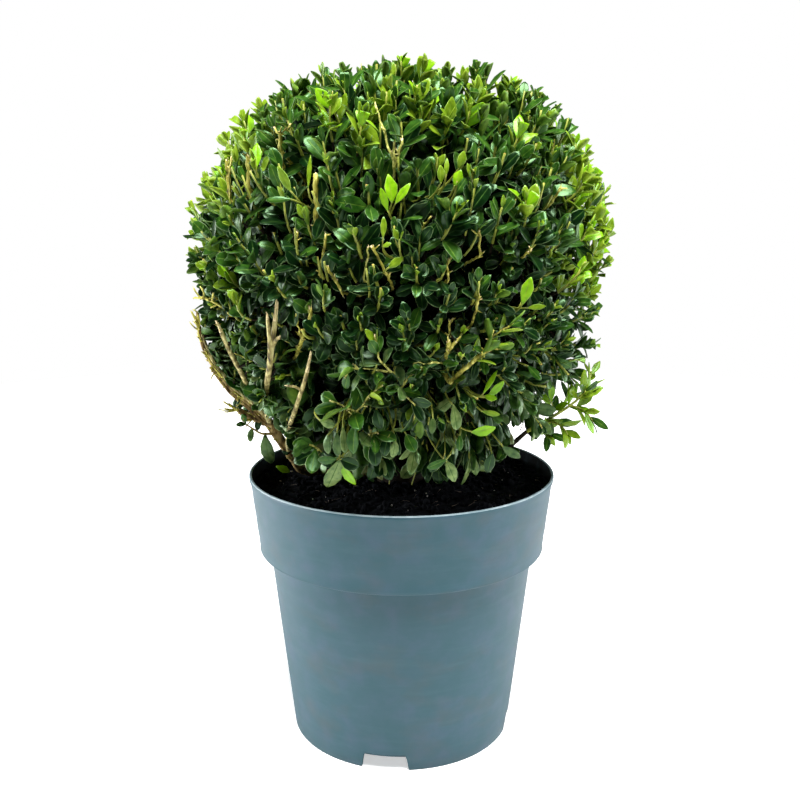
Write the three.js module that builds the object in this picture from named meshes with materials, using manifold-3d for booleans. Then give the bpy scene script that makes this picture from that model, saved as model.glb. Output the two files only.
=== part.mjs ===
// A Japanese holly clipped to a ball, with its pot and compost, as separate solids.
// Millimetres, +Z up. The origin is on the ground, at the middle of the pot's underside, and -Y is the front.
// The pot stands at the origin. Everything that grows is placed from the trunk's foot, on the compost.

import * as THREE from "three";
import { mergeVertices } from "three/addons/utils/BufferGeometryUtils.js";
import Module from "manifold-3d";

const wasm = await Module();
wasm.setup();

// Driving dimensions

const GAP = 0.3; // clearance where two pieces meet
const LEVEL = 195; // height of the compost's surface above the ground
const SLIVER = 0.02; // details finer than this are smoothed away
const TOUCH = 1e-3; // two pieces that share less than this volume are clear of each other
const SEED = 20; // another number grows another plant of the same kind

const POT = {
  height: 202,
  rimRadius: 115,
  baseRadius: 84,
  wall: 1.8,
  collarFoot: 144, // height of the collar's lower edge
  collarFootRadius: 107.5,
  bodyTopRadius: 100.2, // the body where it meets the collar
  lip: 4, // height of the thicker lip round the mouth
  lipProud: 0.8,
  floorRadius: 62, // the flat part of the underside
  gutterRadius: 72, // inner edge of the raised drain gutter
  gutterHeight: 10,
  slopeShift: 0.6, // how far the floor's slope moves out through its thickness
  sides: 52,
};

const NOTCH = {
  count: 4,
  firstTurn: THREE.MathUtils.degToRad(-8.2), // from the front, towards the left
  footWidth: 34.5,
  topWidth: 27,
  height: 12.6,
  corner: 4, // size of the rounded upper corners
  flank: 1, // how far a side leans out below its corner
  below: 1, // how far the cut starts under the ground
  fromRadius: 73.5,
  depth: 16,
};

const COMPOST = {
  flatRadius: 30, // level ground round the trunk
  relief: 1.6,
  edgeDrop: 2.5, // from the middle to the pot's wall
  rings: [30, 58, 86],
  waves: [
    { x: 0.09, y: 0.05, shift: 0 },
    { x: -0.11, y: 0.07, shift: 1.3 },
  ],
};

const CROWN = {
  centre: new THREE.Vector3(-3, 0, 155),
  radius: 149.5,
  halfHeight: 149,
  squareness: 2.4, // exponent of the outline: 2 is an ellipse, larger is boxier
  coreShare: 0.68, // the cores' outer face, as a share of the outline
  hollowShare: 0.45, // the bare inside, as a share of the outline
  boughShare: 0.41, // where the boughs end
  stemShare: 0.6, // where the stem of a mass ends
  footWay: 46, // radius of the way up into the bare inside
  parting: 2, // half the gap between two cores
  coreDetail: 3, // how finely the cores' outer and inner faces are divided
  hollowDetail: 1,
};

const TWIG = {
  count: 130, // golden-angle places over the whole ball
  lowest: -0.9, // no place points further down than this
  rootRadius: 2.8,
  tipRadius: 1.8,
  reach: 0.84, // the uppermost leaf joints, as a share of the outline
  lowReach: 0.93, // the same under the ball, where the leaves lie flat
  scatter: 0.03,
  room: 5, // from a joint to the border of the mass's own space
  lift: 0.45, // how strongly the tips turn up, at the top of the ball
  lowLift: -0.1, // and at its foot
  stray: 0.25, // and how far they wander from that
  joint: 1.6, // height of a leaf's root on the twig
  lowerJoint: 1, // the rings at the foot of the lower and the upper joint
  upperJoint: 3,
  spacing: 12, // between two whorls of leaves
  cutEvery: 5, // one twig in so many ends in a bare cut stub
  cutLength: 15,
};

const LEAF = {
  length: 30,
  scatter: 0.15,
  widthShare: 0.56,
  widest: 0.58, // where the blade is widest, from the root
  blunt: { at: 0.97, share: 0.42 }, // the cut-off tip, and its width against the widest
  keel: { at: 0.5, depth: 1.2 }, // the midrib under the blade
  spread: THREE.MathUtils.degToRad(50), // between leaf and twig
  lowerSpread: THREE.MathUtils.degToRad(68), // the same in the lower whorl
  spreadScatter: THREE.MathUtils.degToRad(12),
  turnScatter: THREE.MathUtils.degToRad(18),
  tries: 7, // turns of the dice to find a leaf that fits between its neighbours
  shrink: 0.93, // each turn of the dice makes the leaf this much smaller
};

// The open spray that hangs out of the ball at the lower right.
const SPRAY = {
  mass: "low_right",
  outline: 1.17, // it passes the clipped outline by this share
  joints: [0.3, 0.42, 0.54, 0.66, 0.78, 0.9],
  firstTurn: 0.6,
  reach: 27, // length of its longest twigs
  shortening: 0.35, // how much shorter they are at the tip
  lean: 0.7, // how far they lean along the stem
  thick: 1.7,
  leafShare: 0.75, // size of its leaves against those of the ball
};

// The short stem between the tip of a bough and its mass.
const STEM = { from: 2.6, to: 2, sides: 6, rings: 3 };

// The boughs inside the ball. The drop is from the trunk's fork down to a bough's foot.
const SIDE_BOUGH = { from: 4.6, to: 2.8, sides: 6, rings: 5, drop: 14 };
const TOP_BOUGH = { from: 5.6, to: 3.2, sides: 6, rings: 5, drop: 4 };
const KNEE = { out: 0.34, up: 0.3, arch: 4 }; // where a bough bends, on its way from foot to tip
const FLARE = { share: 0.29, power: 2 }; // how far up the root flare runs, and how quickly it fades

const LOOKS = {
  pot: { color: 0x5f7d88, roughness: 0.55 },
  compost: { color: 0x17120f, roughness: 1 },
  bark: { color: 0x7d6238, roughness: 0.9 },
  leaf: { color: 0x2f5a22, roughness: 0.45 },
};

const UP = new THREE.Vector3(0, 0, 1);
const GOLDEN_ANGLE = Math.PI * (3 - Math.sqrt(5));
const point = (x, y, z) => new THREE.Vector3(x, y, z);

// Small tools

// A seeded generator of numbers from 0 to 1, so that every build grows the same plant.
function seeded(seed) {
  let state = seed >>> 0;
  return () => {
    state = (state + 0x6d2b79f5) >>> 0;
    let mixed = Math.imul(state ^ (state >>> 15), state | 1);
    mixed ^= mixed + Math.imul(mixed ^ (mixed >>> 7), mixed | 61);
    return ((mixed ^ (mixed >>> 14)) >>> 0) / 4294967296;
  };
}

// A number spread evenly from -1 to 1.
const evenly = (random) => 2 * random() - 1;

// A closed three.js geometry as a solid that can be joined and cut.
function solidOf(geometry) {
  const bare = new THREE.BufferGeometry();
  bare.setAttribute("position", geometry.getAttribute("position"));
  if (geometry.index) bare.setIndex(geometry.index);
  const merged = mergeVertices(bare, 1e-4);
  return new wasm.Manifold(
    new wasm.Mesh({
      numProp: 3,
      vertProperties: merged.getAttribute("position").array,
      triVerts: new Uint32Array(merged.index.array),
    }),
  );
}

// The solid's faces as a three.js geometry.
function geometryOf(solid) {
  const mesh = solid.getMesh();
  const geometry = new THREE.BufferGeometry();
  geometry.setAttribute("position", new THREE.BufferAttribute(mesh.vertProperties, mesh.numProp));
  geometry.setIndex(new THREE.BufferAttribute(mesh.triVerts, 1));
  geometry.computeVertexNormals();
  return geometry;
}

// The largest body of a solid: loose scraps are dropped, and a sealed hollow is filled.
function largestBody(solid) {
  const bodies = solid.decompose();
  return bodies.reduce((best, body) => (body.volume() > best.volume() ? body : best));
}

// Corners of a geometry, as vectors.
function cornersOf(geometry) {
  const positions = geometry.getAttribute("position");
  const corner = (_, i) => new THREE.Vector3().fromBufferAttribute(positions, i);
  return Array.from({ length: positions.count }, corner);
}

function named(name, geometry, look) {
  const mesh = new THREE.Mesh(geometry, new THREE.MeshStandardMaterial({ ...look, metalness: 0 }));
  mesh.name = name;
  return mesh;
}

// A profile of (radius, height) pairs turned about the upright axis.
function turned(profile) {
  const points = profile.map(([radius, height]) => new THREE.Vector2(radius, height));
  return new THREE.LatheGeometry(points, POT.sides).rotateX(Math.PI / 2);
}

// Pot

const bodyTaper = (POT.bodyTopRadius - POT.baseRadius) / POT.collarFoot;
const collarTaper = (POT.rimRadius - POT.lipProud - POT.collarFootRadius) / (POT.height - POT.collarFoot);
const bodyRadius = (height) => POT.baseRadius + bodyTaper * height;
const collarRadius = (height) => POT.collarFootRadius + collarTaper * (height - POT.collarFoot);

// One thin wall: flat floor, raised gutter, foot ring, tapering body, stepped collar and lip.
function potProfile() {
  const { wall, height, lip, collarFoot, gutterHeight, gutterRadius, floorRadius, slopeShift } = POT;
  const gutterTop = gutterHeight + wall;
  const stepTop = collarFoot + wall;
  const lipFoot = height - lip;
  return [
    [0, 0],
    [floorRadius, 0],
    [gutterRadius, gutterHeight],
    [bodyRadius(gutterHeight) - wall, gutterHeight],
    [POT.baseRadius - wall, 0],
    [POT.baseRadius, 0],
    [bodyRadius(collarFoot), collarFoot],
    [POT.collarFootRadius, collarFoot],
    [collarRadius(lipFoot - 1), lipFoot - 1],
    [POT.rimRadius, lipFoot],
    [POT.rimRadius, height],
    [collarRadius(height) - wall, height],
    [collarRadius(stepTop) - wall, stepTop],
    [bodyRadius(stepTop) - wall, stepTop],
    [bodyRadius(gutterTop) - wall, gutterTop],
    [gutterRadius + slopeShift, gutterTop],
    [floorRadius + slopeShift, wall],
    [0, wall],
  ];
}

// A drain notch at the front: a trapezium with two rounded corners, run through the foot ring and the gutter.
function notchCutter() {
  const foot = NOTCH.footWidth / 2;
  const top = NOTCH.topWidth / 2;
  const { height, corner, flank, below } = NOTCH;
  const outline = new THREE.Shape();
  outline.moveTo(-foot, -below);
  outline.lineTo(foot, -below);
  outline.lineTo(top + flank, height - corner);
  outline.quadraticCurveTo(top, height, top - corner, height);
  outline.lineTo(corner - top, height);
  outline.quadraticCurveTo(-top, height, -top - flank, height - corner);
  const run = { depth: NOTCH.depth, bevelEnabled: false, curveSegments: 4 };
  const cutter = new THREE.ExtrudeGeometry(outline, run);
  return cutter.rotateX(Math.PI / 2).translate(0, -NOTCH.fromRadius, 0);
}

function potGeometry() {
  let pot = solidOf(turned(potProfile()));
  for (let i = 0; i < NOTCH.count; i++) {
    const turn = NOTCH.firstTurn + (2 * Math.PI * i) / NOTCH.count;
    pot = pot.subtract(solidOf(notchCutter().rotateZ(turn)));
  }
  return geometryOf(pot);
}

// Compost

// Low waves that die out at the trunk, so that its foot stands on level ground.
function compostRelief(x, y) {
  const away = THREE.MathUtils.smoothstep(Math.hypot(x, y), COMPOST.flatRadius, COMPOST.flatRadius * 2);
  const waves = COMPOST.waves.map((wave) => Math.sin(wave.x * x + wave.y * y + wave.shift));
  return (COMPOST.relief * away * (waves[0] + waves[1])) / 2;
}

function compostGeometry() {
  const { wall, gutterHeight, gutterRadius, floorRadius, slopeShift, collarFoot } = POT;
  const gutterTop = gutterHeight + wall + GAP;
  const stepTop = collarFoot + wall + GAP;
  const edge = LEVEL - COMPOST.edgeDrop;
  const clear = wall + GAP;
  const profile = [
    [0, wall + GAP],
    [floorRadius + slopeShift - GAP, wall + GAP],
    [gutterRadius + slopeShift - GAP, gutterTop],
    [bodyRadius(gutterTop) - clear, gutterTop],
    [bodyRadius(stepTop) - clear, stepTop],
    [collarRadius(stepTop) - clear, stepTop],
    [collarRadius(edge) - clear, edge],
    ...COMPOST.rings.toReversed().map((radius) => [radius, LEVEL]),
    [0, LEVEL],
  ];
  const geometry = turned(profile);
  const positions = geometry.getAttribute("position");
  for (let i = 0; i < positions.count; i++) {
    if (positions.getZ(i) < LEVEL - GAP) continue;
    positions.setZ(i, LEVEL + compostRelief(positions.getX(i), positions.getY(i)));
  }
  return geometry;
}

// Limbs

// A tapering limb along a smooth curve through the given points: a cylinder whose rings are carried to the
// curve. A flare widens the first stretch, as roots do. A grown limb is larger by that much all round.
function limbGeometry({ path, from, to, sides = 7, rings = 8, flare = 0, grown = 0 }) {
  const curve = new THREE.CatmullRomCurve3(path);
  const frames = curve.computeFrenetFrames(rings);
  const geometry = new THREE.CylinderGeometry(1, 1, 1, sides, rings);
  const positions = geometry.getAttribute("position");
  for (let i = 0; i < positions.count; i++) {
    const ring = Math.round((0.5 - positions.getY(i)) * rings);
    const share = ring / rings;
    const swell = flare * Math.max(0, 1 - share / FLARE.share) ** FLARE.power;
    const radius = THREE.MathUtils.lerp(from, to, share) + swell + grown;
    const place = curve.getPointAt(share);
    if (ring === 0) place.addScaledVector(frames.tangents[ring], -grown);
    if (ring === rings) place.addScaledVector(frames.tangents[ring], grown);
    place.addScaledVector(frames.normals[ring], positions.getX(i) * radius);
    place.addScaledVector(frames.binormals[ring], positions.getZ(i) * radius);
    positions.setXYZ(i, place.x, place.y, place.z);
  }
  return geometry;
}

// Directions of the masses from the middle of the ball. Each mass owns the space nearest to its own seed.
const SEEDS = {
  top_left: point(-32, 5, 75),
  top_right: point(78, 0, 66),
  front_left: point(-54, -90, -20),
  front_right: point(48, -94, -24),
  right: point(106, -2, -26),
  back_right: point(52, 92, -22),
  back_left: point(-54, 92, -20),
  left: point(-108, 6, -18),
  low_right: point(146, -45, -110),
};

// Share of the outline at which a place lies, from the middle of the ball: 1 is on the clipped surface.
function shareAt(place) {
  const from = place.clone().sub(CROWN.centre);
  const across = (Math.hypot(from.x, from.y) / CROWN.radius) ** CROWN.squareness;
  const upright = (Math.abs(from.z) / CROWN.halfHeight) ** CROWN.squareness;
  return (across + upright) ** (1 / CROWN.squareness);
}

// The place at a share of the outline, seen from the middle of the ball in a direction.
function placeAt(direction, share) {
  const unit = direction.clone().normalize();
  const one = CROWN.centre.clone().add(unit);
  return CROWN.centre.clone().addScaledVector(unit, share / shareAt(one));
}

const FORK = point(1.5, 1, 40);
const LOW_FORK = point(-96, -25, 49);
const RIGHT_TIP = point(89, -42, 46);
const SPRAY_STEM = [point(89.4, -42.1, 46.4), point(105, -46, 57), point(119, -48, 67), point(133, -48, 80)];

// A bough from the trunk's fork to the inside of a mass.
function boughTo(mass, form) {
  const tip = placeAt(SEEDS[mass], CROWN.boughShare);
  const out = tip.clone().sub(FORK);
  const foot = FORK.clone().addScaledVector(UP, -form.drop);
  const knee = foot.clone().add(point(KNEE.out * out.x, KNEE.out * out.y, KNEE.up * out.z + KNEE.arch));
  return { ...form, path: [foot, knee, tip] };
}

// Every limb, in the order in which they are cut clear of each other.
const LIMBS = {
  trunk: {
    path: [point(0, 0, -4), point(0.5, 0, 20), FORK],
    from: 13,
    to: 11.5,
    flare: 7,
    sides: 10,
  },
  bough_top_left: boughTo("top_left", TOP_BOUGH),
  bough_top_right: boughTo("top_right", TOP_BOUGH),
  bough_front_left: boughTo("front_left", SIDE_BOUGH),
  bough_front_right: boughTo("front_right", SIDE_BOUGH),
  bough_right: boughTo("right", SIDE_BOUGH),
  bough_back_right: boughTo("back_right", SIDE_BOUGH),
  bough_back_left: boughTo("back_left", SIDE_BOUGH),
  bough_left: boughTo("left", SIDE_BOUGH),
  low_left_bough: {
    path: [point(0, 0, 9), point(-45, 2, 10), point(-78, -8, 14), point(-88, -18, 33), LOW_FORK],
    from: 5.6,
    to: 4.6,
    rings: 9,
  },
  low_right_bough: {
    path: [point(0, 0, 10), point(45, -12, 13), point(72, -30, 28), RIGHT_TIP],
    from: 4.4,
    to: 2.6,
  },
  left_outer_bough: {
    path: [
      LOW_FORK.clone().add(point(-1, -0.5, 1)),
      point(-107, -29, 64),
      point(-118, -31, 74),
      point(-132, -33, 93),
      point(-143, -33, 115),
      point(-146, -31, 135),
    ],
    from: 4.2,
    to: 2.2,
    rings: 9,
  },
  left_cut_stub_a: {
    path: [
      LOW_FORK,
      point(-101, -60, 64),
      point(-93, -92, 84),
      point(-84, -108, 110),
      point(-77, -115, 147),
    ],
    from: 4,
    to: 2.8,
    rings: 9,
  },
  left_cut_stub_b: {
    path: [point(-112, -30, 69), point(-116, -56, 80), point(-114, -79, 108), point(-120, -76, 130)],
    from: 2.8,
    to: 1.9,
    sides: 6,
  },
  left_cut_stub_c: {
    path: [
      point(-84, -13, 24),
      point(-82, -56, 44),
      point(-70, -97, 70),
      point(-60, -117, 97),
      point(-56, -124, 116),
    ],
    from: 2.8,
    to: 1.8,
    sides: 6,
  },
};

// The limbs as solids, cut flat at the ground and each cut GAP clear of those before it, and as slightly
// larger solids that nothing else may enter.
function growLimbs() {
  const limbs = {};
  const kept = [];
  for (const [name, limb] of Object.entries(LIMBS)) {
    const whole = solidOf(limbGeometry(limb)).trimByPlane(UP.toArray(), GAP);
    const clear = kept.reduce((rest, other) => rest.subtract(other), whole);
    limbs[name] = largestBody(clear.simplify(SLIVER));
    kept.push(solidOf(limbGeometry({ ...limb, grown: GAP })));
  }
  return { limbs, kept };
}

// Foliage

// Sides of the space that a mass owns: planes half-way to each other seed, facing the mass.
function sidesOf(mass) {
  const own = SEEDS[mass];
  return Object.keys(SEEDS)
    .filter((other) => other !== mass)
    .map((other) => {
      const facing = own.clone().sub(SEEDS[other]).normalize();
      const middle = own.clone().add(SEEDS[other]).multiplyScalar(0.5).add(CROWN.centre);
      return { facing, offset: facing.dot(middle) };
    });
}

const ownerOf = (place) => {
  const from = place.clone().sub(CROWN.centre);
  const nearest = (a, b) => (SEEDS[a].distanceTo(from) < SEEDS[b].distanceTo(from) ? a : b);
  return Object.keys(SEEDS).reduce(nearest);
};

// A ball of the crown's own form, at a share of its outline.
function crownForm(share, detail) {
  const geometry = new THREE.IcosahedronGeometry(1, detail);
  const positions = geometry.getAttribute("position");
  for (const [i, corner] of cornersOf(geometry).entries()) {
    const place = placeAt(corner, share);
    positions.setXYZ(i, place.x, place.y, place.z);
  }
  return solidOf(geometry);
}

// The dense inner growth of one mass: its share of the shell, clear of the limbs.
function coreOf(mass, shell, kept) {
  const trimmed = sidesOf(mass).reduce(
    (rest, { facing, offset }) => rest.trimByPlane(facing.toArray(), offset + CROWN.parting),
    shell,
  );
  return kept.reduce((rest, limb) => rest.subtract(limb), trimmed);
}

// A thick shell round the bare inside of the ball, open below for the trunk.
function shellOfCores() {
  const height = CROWN.centre.z;
  const way = new THREE.CylinderGeometry(CROWN.footWay, CROWN.footWay, height, 16).rotateX(Math.PI / 2);
  way.translate(CROWN.centre.x, CROWN.centre.y, height / 2);
  const outer = crownForm(CROWN.coreShare, CROWN.coreDetail);
  const inner = crownForm(CROWN.hollowShare, CROWN.hollowDetail);
  return outer.subtract(inner).subtract(solidOf(way));
}

// Three-cornered rings along a twig, from its foot to its tip. Each whorl of leaves sits on a short joint
// between two rings, and the upper whorl is turned against the lower one.
function twigRings({ place, foot, away, thick }, bare, random) {
  const height = place.z / (CROWN.centre.z + CROWN.halfHeight);
  const heading = away.clone().addScaledVector(UP, THREE.MathUtils.lerp(TWIG.lowLift, TWIG.lift, height));
  heading.add(point(evenly(random), evenly(random), evenly(random)).multiplyScalar(TWIG.stray)).normalize();
  const across = new THREE.Vector3().crossVectors(heading, UP).normalize();
  across.applyAxisAngle(heading, Math.PI * random());
  const ring = (middle, radius, turn) =>
    [0, 1, 2].map((corner) => {
      const side = across.clone().applyAxisAngle(heading, turn + (corner * 2 * Math.PI) / 3);
      return middle.clone().addScaledVector(side, radius);
    });
  const below = (distance) => place.clone().addScaledVector(heading, -distance);
  const middle = (thick + TWIG.tipRadius) / 2;
  const between = Math.PI / 3;
  const rings = [
    ring(foot, thick, between),
    ring(below(TWIG.spacing + TWIG.joint), middle, between),
    ring(below(TWIG.spacing), middle, between),
    ring(below(TWIG.joint), TWIG.tipRadius, 0),
    ring(place, TWIG.tipRadius, 0),
  ];
  if (bare) rings.push(ring(below(-bare), TWIG.tipRadius, 0));
  return { rings, heading };
}

// The four corners of one face of a twig, between two rings, from the lower left round to the upper left.
function faceOf({ rings }, joint, face) {
  const next = (face + 1) % 3;
  return [rings[joint][face], rings[joint][next], rings[joint + 1][next], rings[joint + 1][face]];
}

// Faces of a blunt leaf as triples of corners: it grows out of a twig's face and takes that face's place.
// The blade is flat above, with a midrib below that runs out at the margins.
function leafFaces([a, b, c, d], heading, { spread, turn, length }) {
  const root = a.clone().add(b).add(c).add(d).multiplyScalar(0.25);
  const face = new THREE.Vector3().crossVectors(b.clone().sub(a), heading).normalize();
  const side = face.applyAxisAngle(heading, turn);
  const along = heading.clone().multiplyScalar(Math.cos(spread)).addScaledVector(side, Math.sin(spread));
  const upper = heading.clone().addScaledVector(along, -heading.dot(along)).normalize();
  const left = new THREE.Vector3().crossVectors(along, upper);
  const half = 0.5 * LEAF.widthShare * length;
  const place = (share, across, rise = 0) => {
    const middle = root.clone().addScaledVector(along, share * length);
    return middle.addScaledVector(left, across).addScaledVector(upper, rise);
  };
  const leftEdge = place(LEAF.widest, half);
  const leftTip = place(LEAF.blunt.at, LEAF.blunt.share * half);
  const rightTip = place(LEAF.blunt.at, -LEAF.blunt.share * half);
  const rightEdge = place(LEAF.widest, -half);
  const rib = place(LEAF.keel.at, 0, -LEAF.keel.depth);
  const rim = [a, b, rightEdge, rightTip, leftTip, leftEdge];
  return [
    [d, leftEdge, rightEdge],
    [d, rightEdge, c],
    [leftEdge, leftTip, rightTip],
    [leftEdge, rightTip, rightEdge],
    [a, leftEdge, d],
    [b, c, rightEdge],
    ...rim.map((corner, i) => [corner, rim[(i + 1) % rim.length], rib]),
  ];
}

// Two triples that fill a four-cornered face.
const filled = ([a, b, c, d]) => [
  [a, b, c],
  [a, c, d],
];

// A closed solid from faces given as triples of corners.
const solidFrom = (faces) => solidOf(new THREE.BufferGeometry().setFromPoints(faces.flat()));

// A twig's faces, with its leaves grown out of those faces that bear one.
function twigFaces(twig, leaves) {
  const faces = [twig.rings[0].toReversed(), twig.rings.at(-1)];
  for (let joint = 0; joint < twig.rings.length - 1; joint++) {
    for (let face = 0; face < 3; face++) {
      const leaf = leaves.find((other) => other.joint === joint && other.face === face);
      faces.push(...(leaf ? leaf.faces : filled(faceOf(twig, joint, face))));
    }
  }
  return faces;
}

// Golden-angle places over the ball, dealt to the masses that own them.
function placesByMass(random) {
  const dealt = Object.fromEntries(Object.keys(SEEDS).map((mass) => [mass, []]));
  for (let i = 0; i < TWIG.count; i++) {
    const height = 1 - (2 * (i + 0.5)) / TWIG.count;
    if (height < TWIG.lowest) continue;
    const around = Math.sqrt(1 - height * height);
    const turn = i * GOLDEN_ANGLE;
    const direction = point(around * Math.cos(turn), around * Math.sin(turn), height);
    const low = THREE.MathUtils.smoothstep(-height, 0.3, 0.8);
    const share = THREE.MathUtils.lerp(TWIG.reach, TWIG.lowReach, low) + TWIG.scatter * evenly(random);
    const place = placeAt(direction, share);
    dealt[ownerOf(place)].push(place);
  }
  return dealt;
}

// The stem of a mass, from the tip of its bough to the middle of its core.
function stemOf(mass) {
  const tip = LIMBS[`bough_${mass}`].path.at(-1);
  const outward = SEEDS[mass].clone().normalize();
  return [tip.clone().addScaledVector(outward, GAP), placeAt(outward, CROWN.stemShare)];
}

// Twigs of the ball: all from the end of the mass's stem, out through the core. Places close to the border of
// the mass's own space are moved in from it.
function ballTwigs(mass, places, stem) {
  return places.map((place) => {
    for (const { facing, offset } of sidesOf(mass)) {
      const room = facing.dot(place) - offset;
      place.addScaledVector(facing, Math.max(0, TWIG.room - room));
    }
    const away = place.clone().sub(CROWN.centre).normalize();
    return { foot: stem.at(-1), away, place, thick: TWIG.rootRadius };
  });
}

// Twigs of the open spray: side twigs that fan out round its stem, shorter towards the tip, and one at its end.
function sprayTwigs(stem) {
  const curve = new THREE.CatmullRomCurve3(stem);
  const twigs = SPRAY.joints.map((share, i) => {
    const foot = curve.getPointAt(share);
    const forward = curve.getTangentAt(share);
    const side = new THREE.Vector3().crossVectors(forward, UP).normalize();
    side.applyAxisAngle(forward, SPRAY.firstTurn + i * GOLDEN_ANGLE);
    const away = forward.multiplyScalar(SPRAY.lean).add(side).normalize();
    const reach = SPRAY.reach * (1 - SPRAY.shortening * share);
    return { foot, away, place: foot.clone().addScaledVector(away, reach), thick: SPRAY.thick };
  });
  const away = curve.getTangentAt(1);
  const end = stem.at(-1);
  const reach = SPRAY.reach * (1 - SPRAY.shortening);
  return [...twigs, { foot: end, away, place: end.clone().addScaledVector(away, reach), thick: SPRAY.thick }];
}

// One mass: its core, its stem, and every twig and leaf that stays in the mass's own space, clear of the
// limbs. A leaf that would cross another twig or leaf gives way to it.
function growMass(mass, { starts, stem, core, outline, leafShare, kept, random }) {
  const sides = sidesOf(mass);
  const owned = (corner) =>
    shareAt(corner) <= outline &&
    corner.z > GAP &&
    sides.every(({ facing, offset }) => facing.dot(corner) > offset + GAP);
  const clearOf = (solid, others) => others.every((other) => solid.intersect(other).volume() < TOUCH);
  const fits = (faces, solid) => faces.flat().every(owned) && clearOf(solid, kept);

  const twigs = [];
  for (const [i, start] of starts.entries()) {
    const twig = twigRings(start, i % TWIG.cutEvery ? 0 : TWIG.cutLength, random);
    const faces = twigFaces(twig, []);
    const solid = solidFrom(faces);
    if (fits(faces, solid)) twigs.push({ ...twig, solid, leaves: [] });
  }

  const solids = [];
  for (const twig of twigs) {
    const others = twigs.filter((other) => other !== twig).map(({ solid }) => solid);
    for (const joint of [TWIG.upperJoint, TWIG.lowerJoint]) {
      for (let face = 0; face < 3; face++) {
        for (let attempt = 0; attempt < LEAF.tries; attempt++) {
          const usual = joint === TWIG.upperJoint ? LEAF.spread : LEAF.lowerSpread;
          const spread = usual + LEAF.spreadScatter * evenly(random);
          const turn = LEAF.turnScatter * evenly(random);
          const size = leafShare * LEAF.shrink ** attempt * (1 + LEAF.scatter * evenly(random));
          const corners = faceOf(twig, joint, face);
          const faces = leafFaces(corners, twig.heading, { spread, turn, length: LEAF.length * size });
          const solid = solidFrom([...faces, ...filled(corners.toReversed())]);
          if (!fits(faces, solid) || !clearOf(solid, [...others, ...solids])) continue;
          twig.leaves.push({ joint, face, faces });
          solids.push(solid);
          break;
        }
      }
    }
  }

  const whole = solidOf(limbGeometry({ ...STEM, path: stem }));
  const base = [kept.reduce((rest, limb) => rest.subtract(limb), whole)];
  if (core) base.push(core);
  const leafy = twigs.map((twig) => solidFrom(twigFaces(twig, twig.leaves)));
  return largestBody(wasm.Manifold.union([...base, ...leafy]).simplify(SLIVER));
}

// Assembly

const { limbs, kept } = growLimbs();
const shell = shellOfCores();
const random = seeded(SEED);
const places = placesByMass(random);

const wood = new THREE.Group();
for (const [name, limb] of Object.entries(limbs)) wood.add(named(name, geometryOf(limb), LOOKS.bark));

const foliage = new THREE.Group();
for (const mass of Object.keys(SEEDS)) {
  const spray = mass === SPRAY.mass;
  const stem = spray ? SPRAY_STEM : stemOf(mass);
  const grown = growMass(mass, {
    starts: spray ? sprayTwigs(stem) : ballTwigs(mass, places[mass], stem),
    stem,
    core: spray ? null : coreOf(mass, shell, kept),
    outline: spray ? SPRAY.outline : 1,
    leafShare: spray ? SPRAY.leafShare : 1,
    kept,
    random,
  });
  foliage.add(named(`foliage_${mass}`, geometryOf(grown), LOOKS.leaf));
}

const plant = new THREE.Group();
plant.position.z = LEVEL;
plant.add(wood, foliage);

const pottedHolly = new THREE.Group();
pottedHolly.add(named("pot", potGeometry(), LOOKS.pot));
pottedHolly.add(named("compost", compostGeometry(), LOOKS.compost));
pottedHolly.add(plant);

export default pottedHolly;
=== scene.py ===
"""Looks of a potted Japanese holly, clipped to a ball. Lengths are in millimetres until a mesh is made."""
import bpy
import numpy as np
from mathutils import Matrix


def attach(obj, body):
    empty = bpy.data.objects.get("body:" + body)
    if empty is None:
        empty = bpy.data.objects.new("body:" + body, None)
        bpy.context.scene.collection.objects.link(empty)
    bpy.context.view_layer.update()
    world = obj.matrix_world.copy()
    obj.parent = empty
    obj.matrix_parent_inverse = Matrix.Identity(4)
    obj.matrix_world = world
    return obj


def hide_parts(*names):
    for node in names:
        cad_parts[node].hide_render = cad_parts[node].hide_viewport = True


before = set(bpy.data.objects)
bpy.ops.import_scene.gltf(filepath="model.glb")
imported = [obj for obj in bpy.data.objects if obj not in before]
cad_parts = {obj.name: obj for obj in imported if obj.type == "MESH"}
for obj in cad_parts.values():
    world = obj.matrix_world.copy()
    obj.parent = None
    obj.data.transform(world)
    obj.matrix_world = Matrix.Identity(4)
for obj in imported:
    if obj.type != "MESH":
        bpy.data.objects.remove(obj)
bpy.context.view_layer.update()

MM = 0.001
RIGHT = np.array([1.0, 0.0, 0.0])
UP = np.array([0.0, 0.0, 1.0])
FULL_TURN = 2 * np.pi
GOLDEN_TURN = np.pi * (3.0 - np.sqrt(5.0))
RANDOM = np.random.default_rng(20)

# The photograph's camera: focus and width in pixels, sight in millimetres.
CAMERA_PLACE = np.array([-1.05, -733.4, 411.2])
CAMERA_DIP = np.radians(12.01)
FOCUS = 1000.0
PHOTO_WIDTH = 800.0
SIGHT_RANGE = (400.0, 900.0)
SIGHT_STEPS = 2001

SOIL = 195.0
CROWN_MIDDLE = np.array([-3.0, 0.0, 350.0])
CROWN_RADIUS = 149.5
CROWN_HALF_HEIGHT = 149.0
CROWN_SQUARENESS = 2.4
FORK = np.array([1.5, 1.0, 235.0])
MASS_SEEDS = {
    "top_left": (-32, 5, 75),
    "top_right": (78, 0, 66),
    "front_left": (-54, -90, -20),
    "front_right": (48, -94, -24),
    "right": (106, -2, -26),
    "back_right": (52, 92, -22),
    "back_left": (-54, 92, -20),
    "left": (-108, 6, -18),
    "low_right": (146, -45, -110),
}
SEEDS = np.array(list(MASS_SEEDS.values()), dtype=float)
MASSES = list(MASS_SEEDS)
LOW_RIGHT = MASSES.index("low_right")
CLIPPED_MASSES = MASSES[:LOW_RIGHT]


# Directions and places


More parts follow.
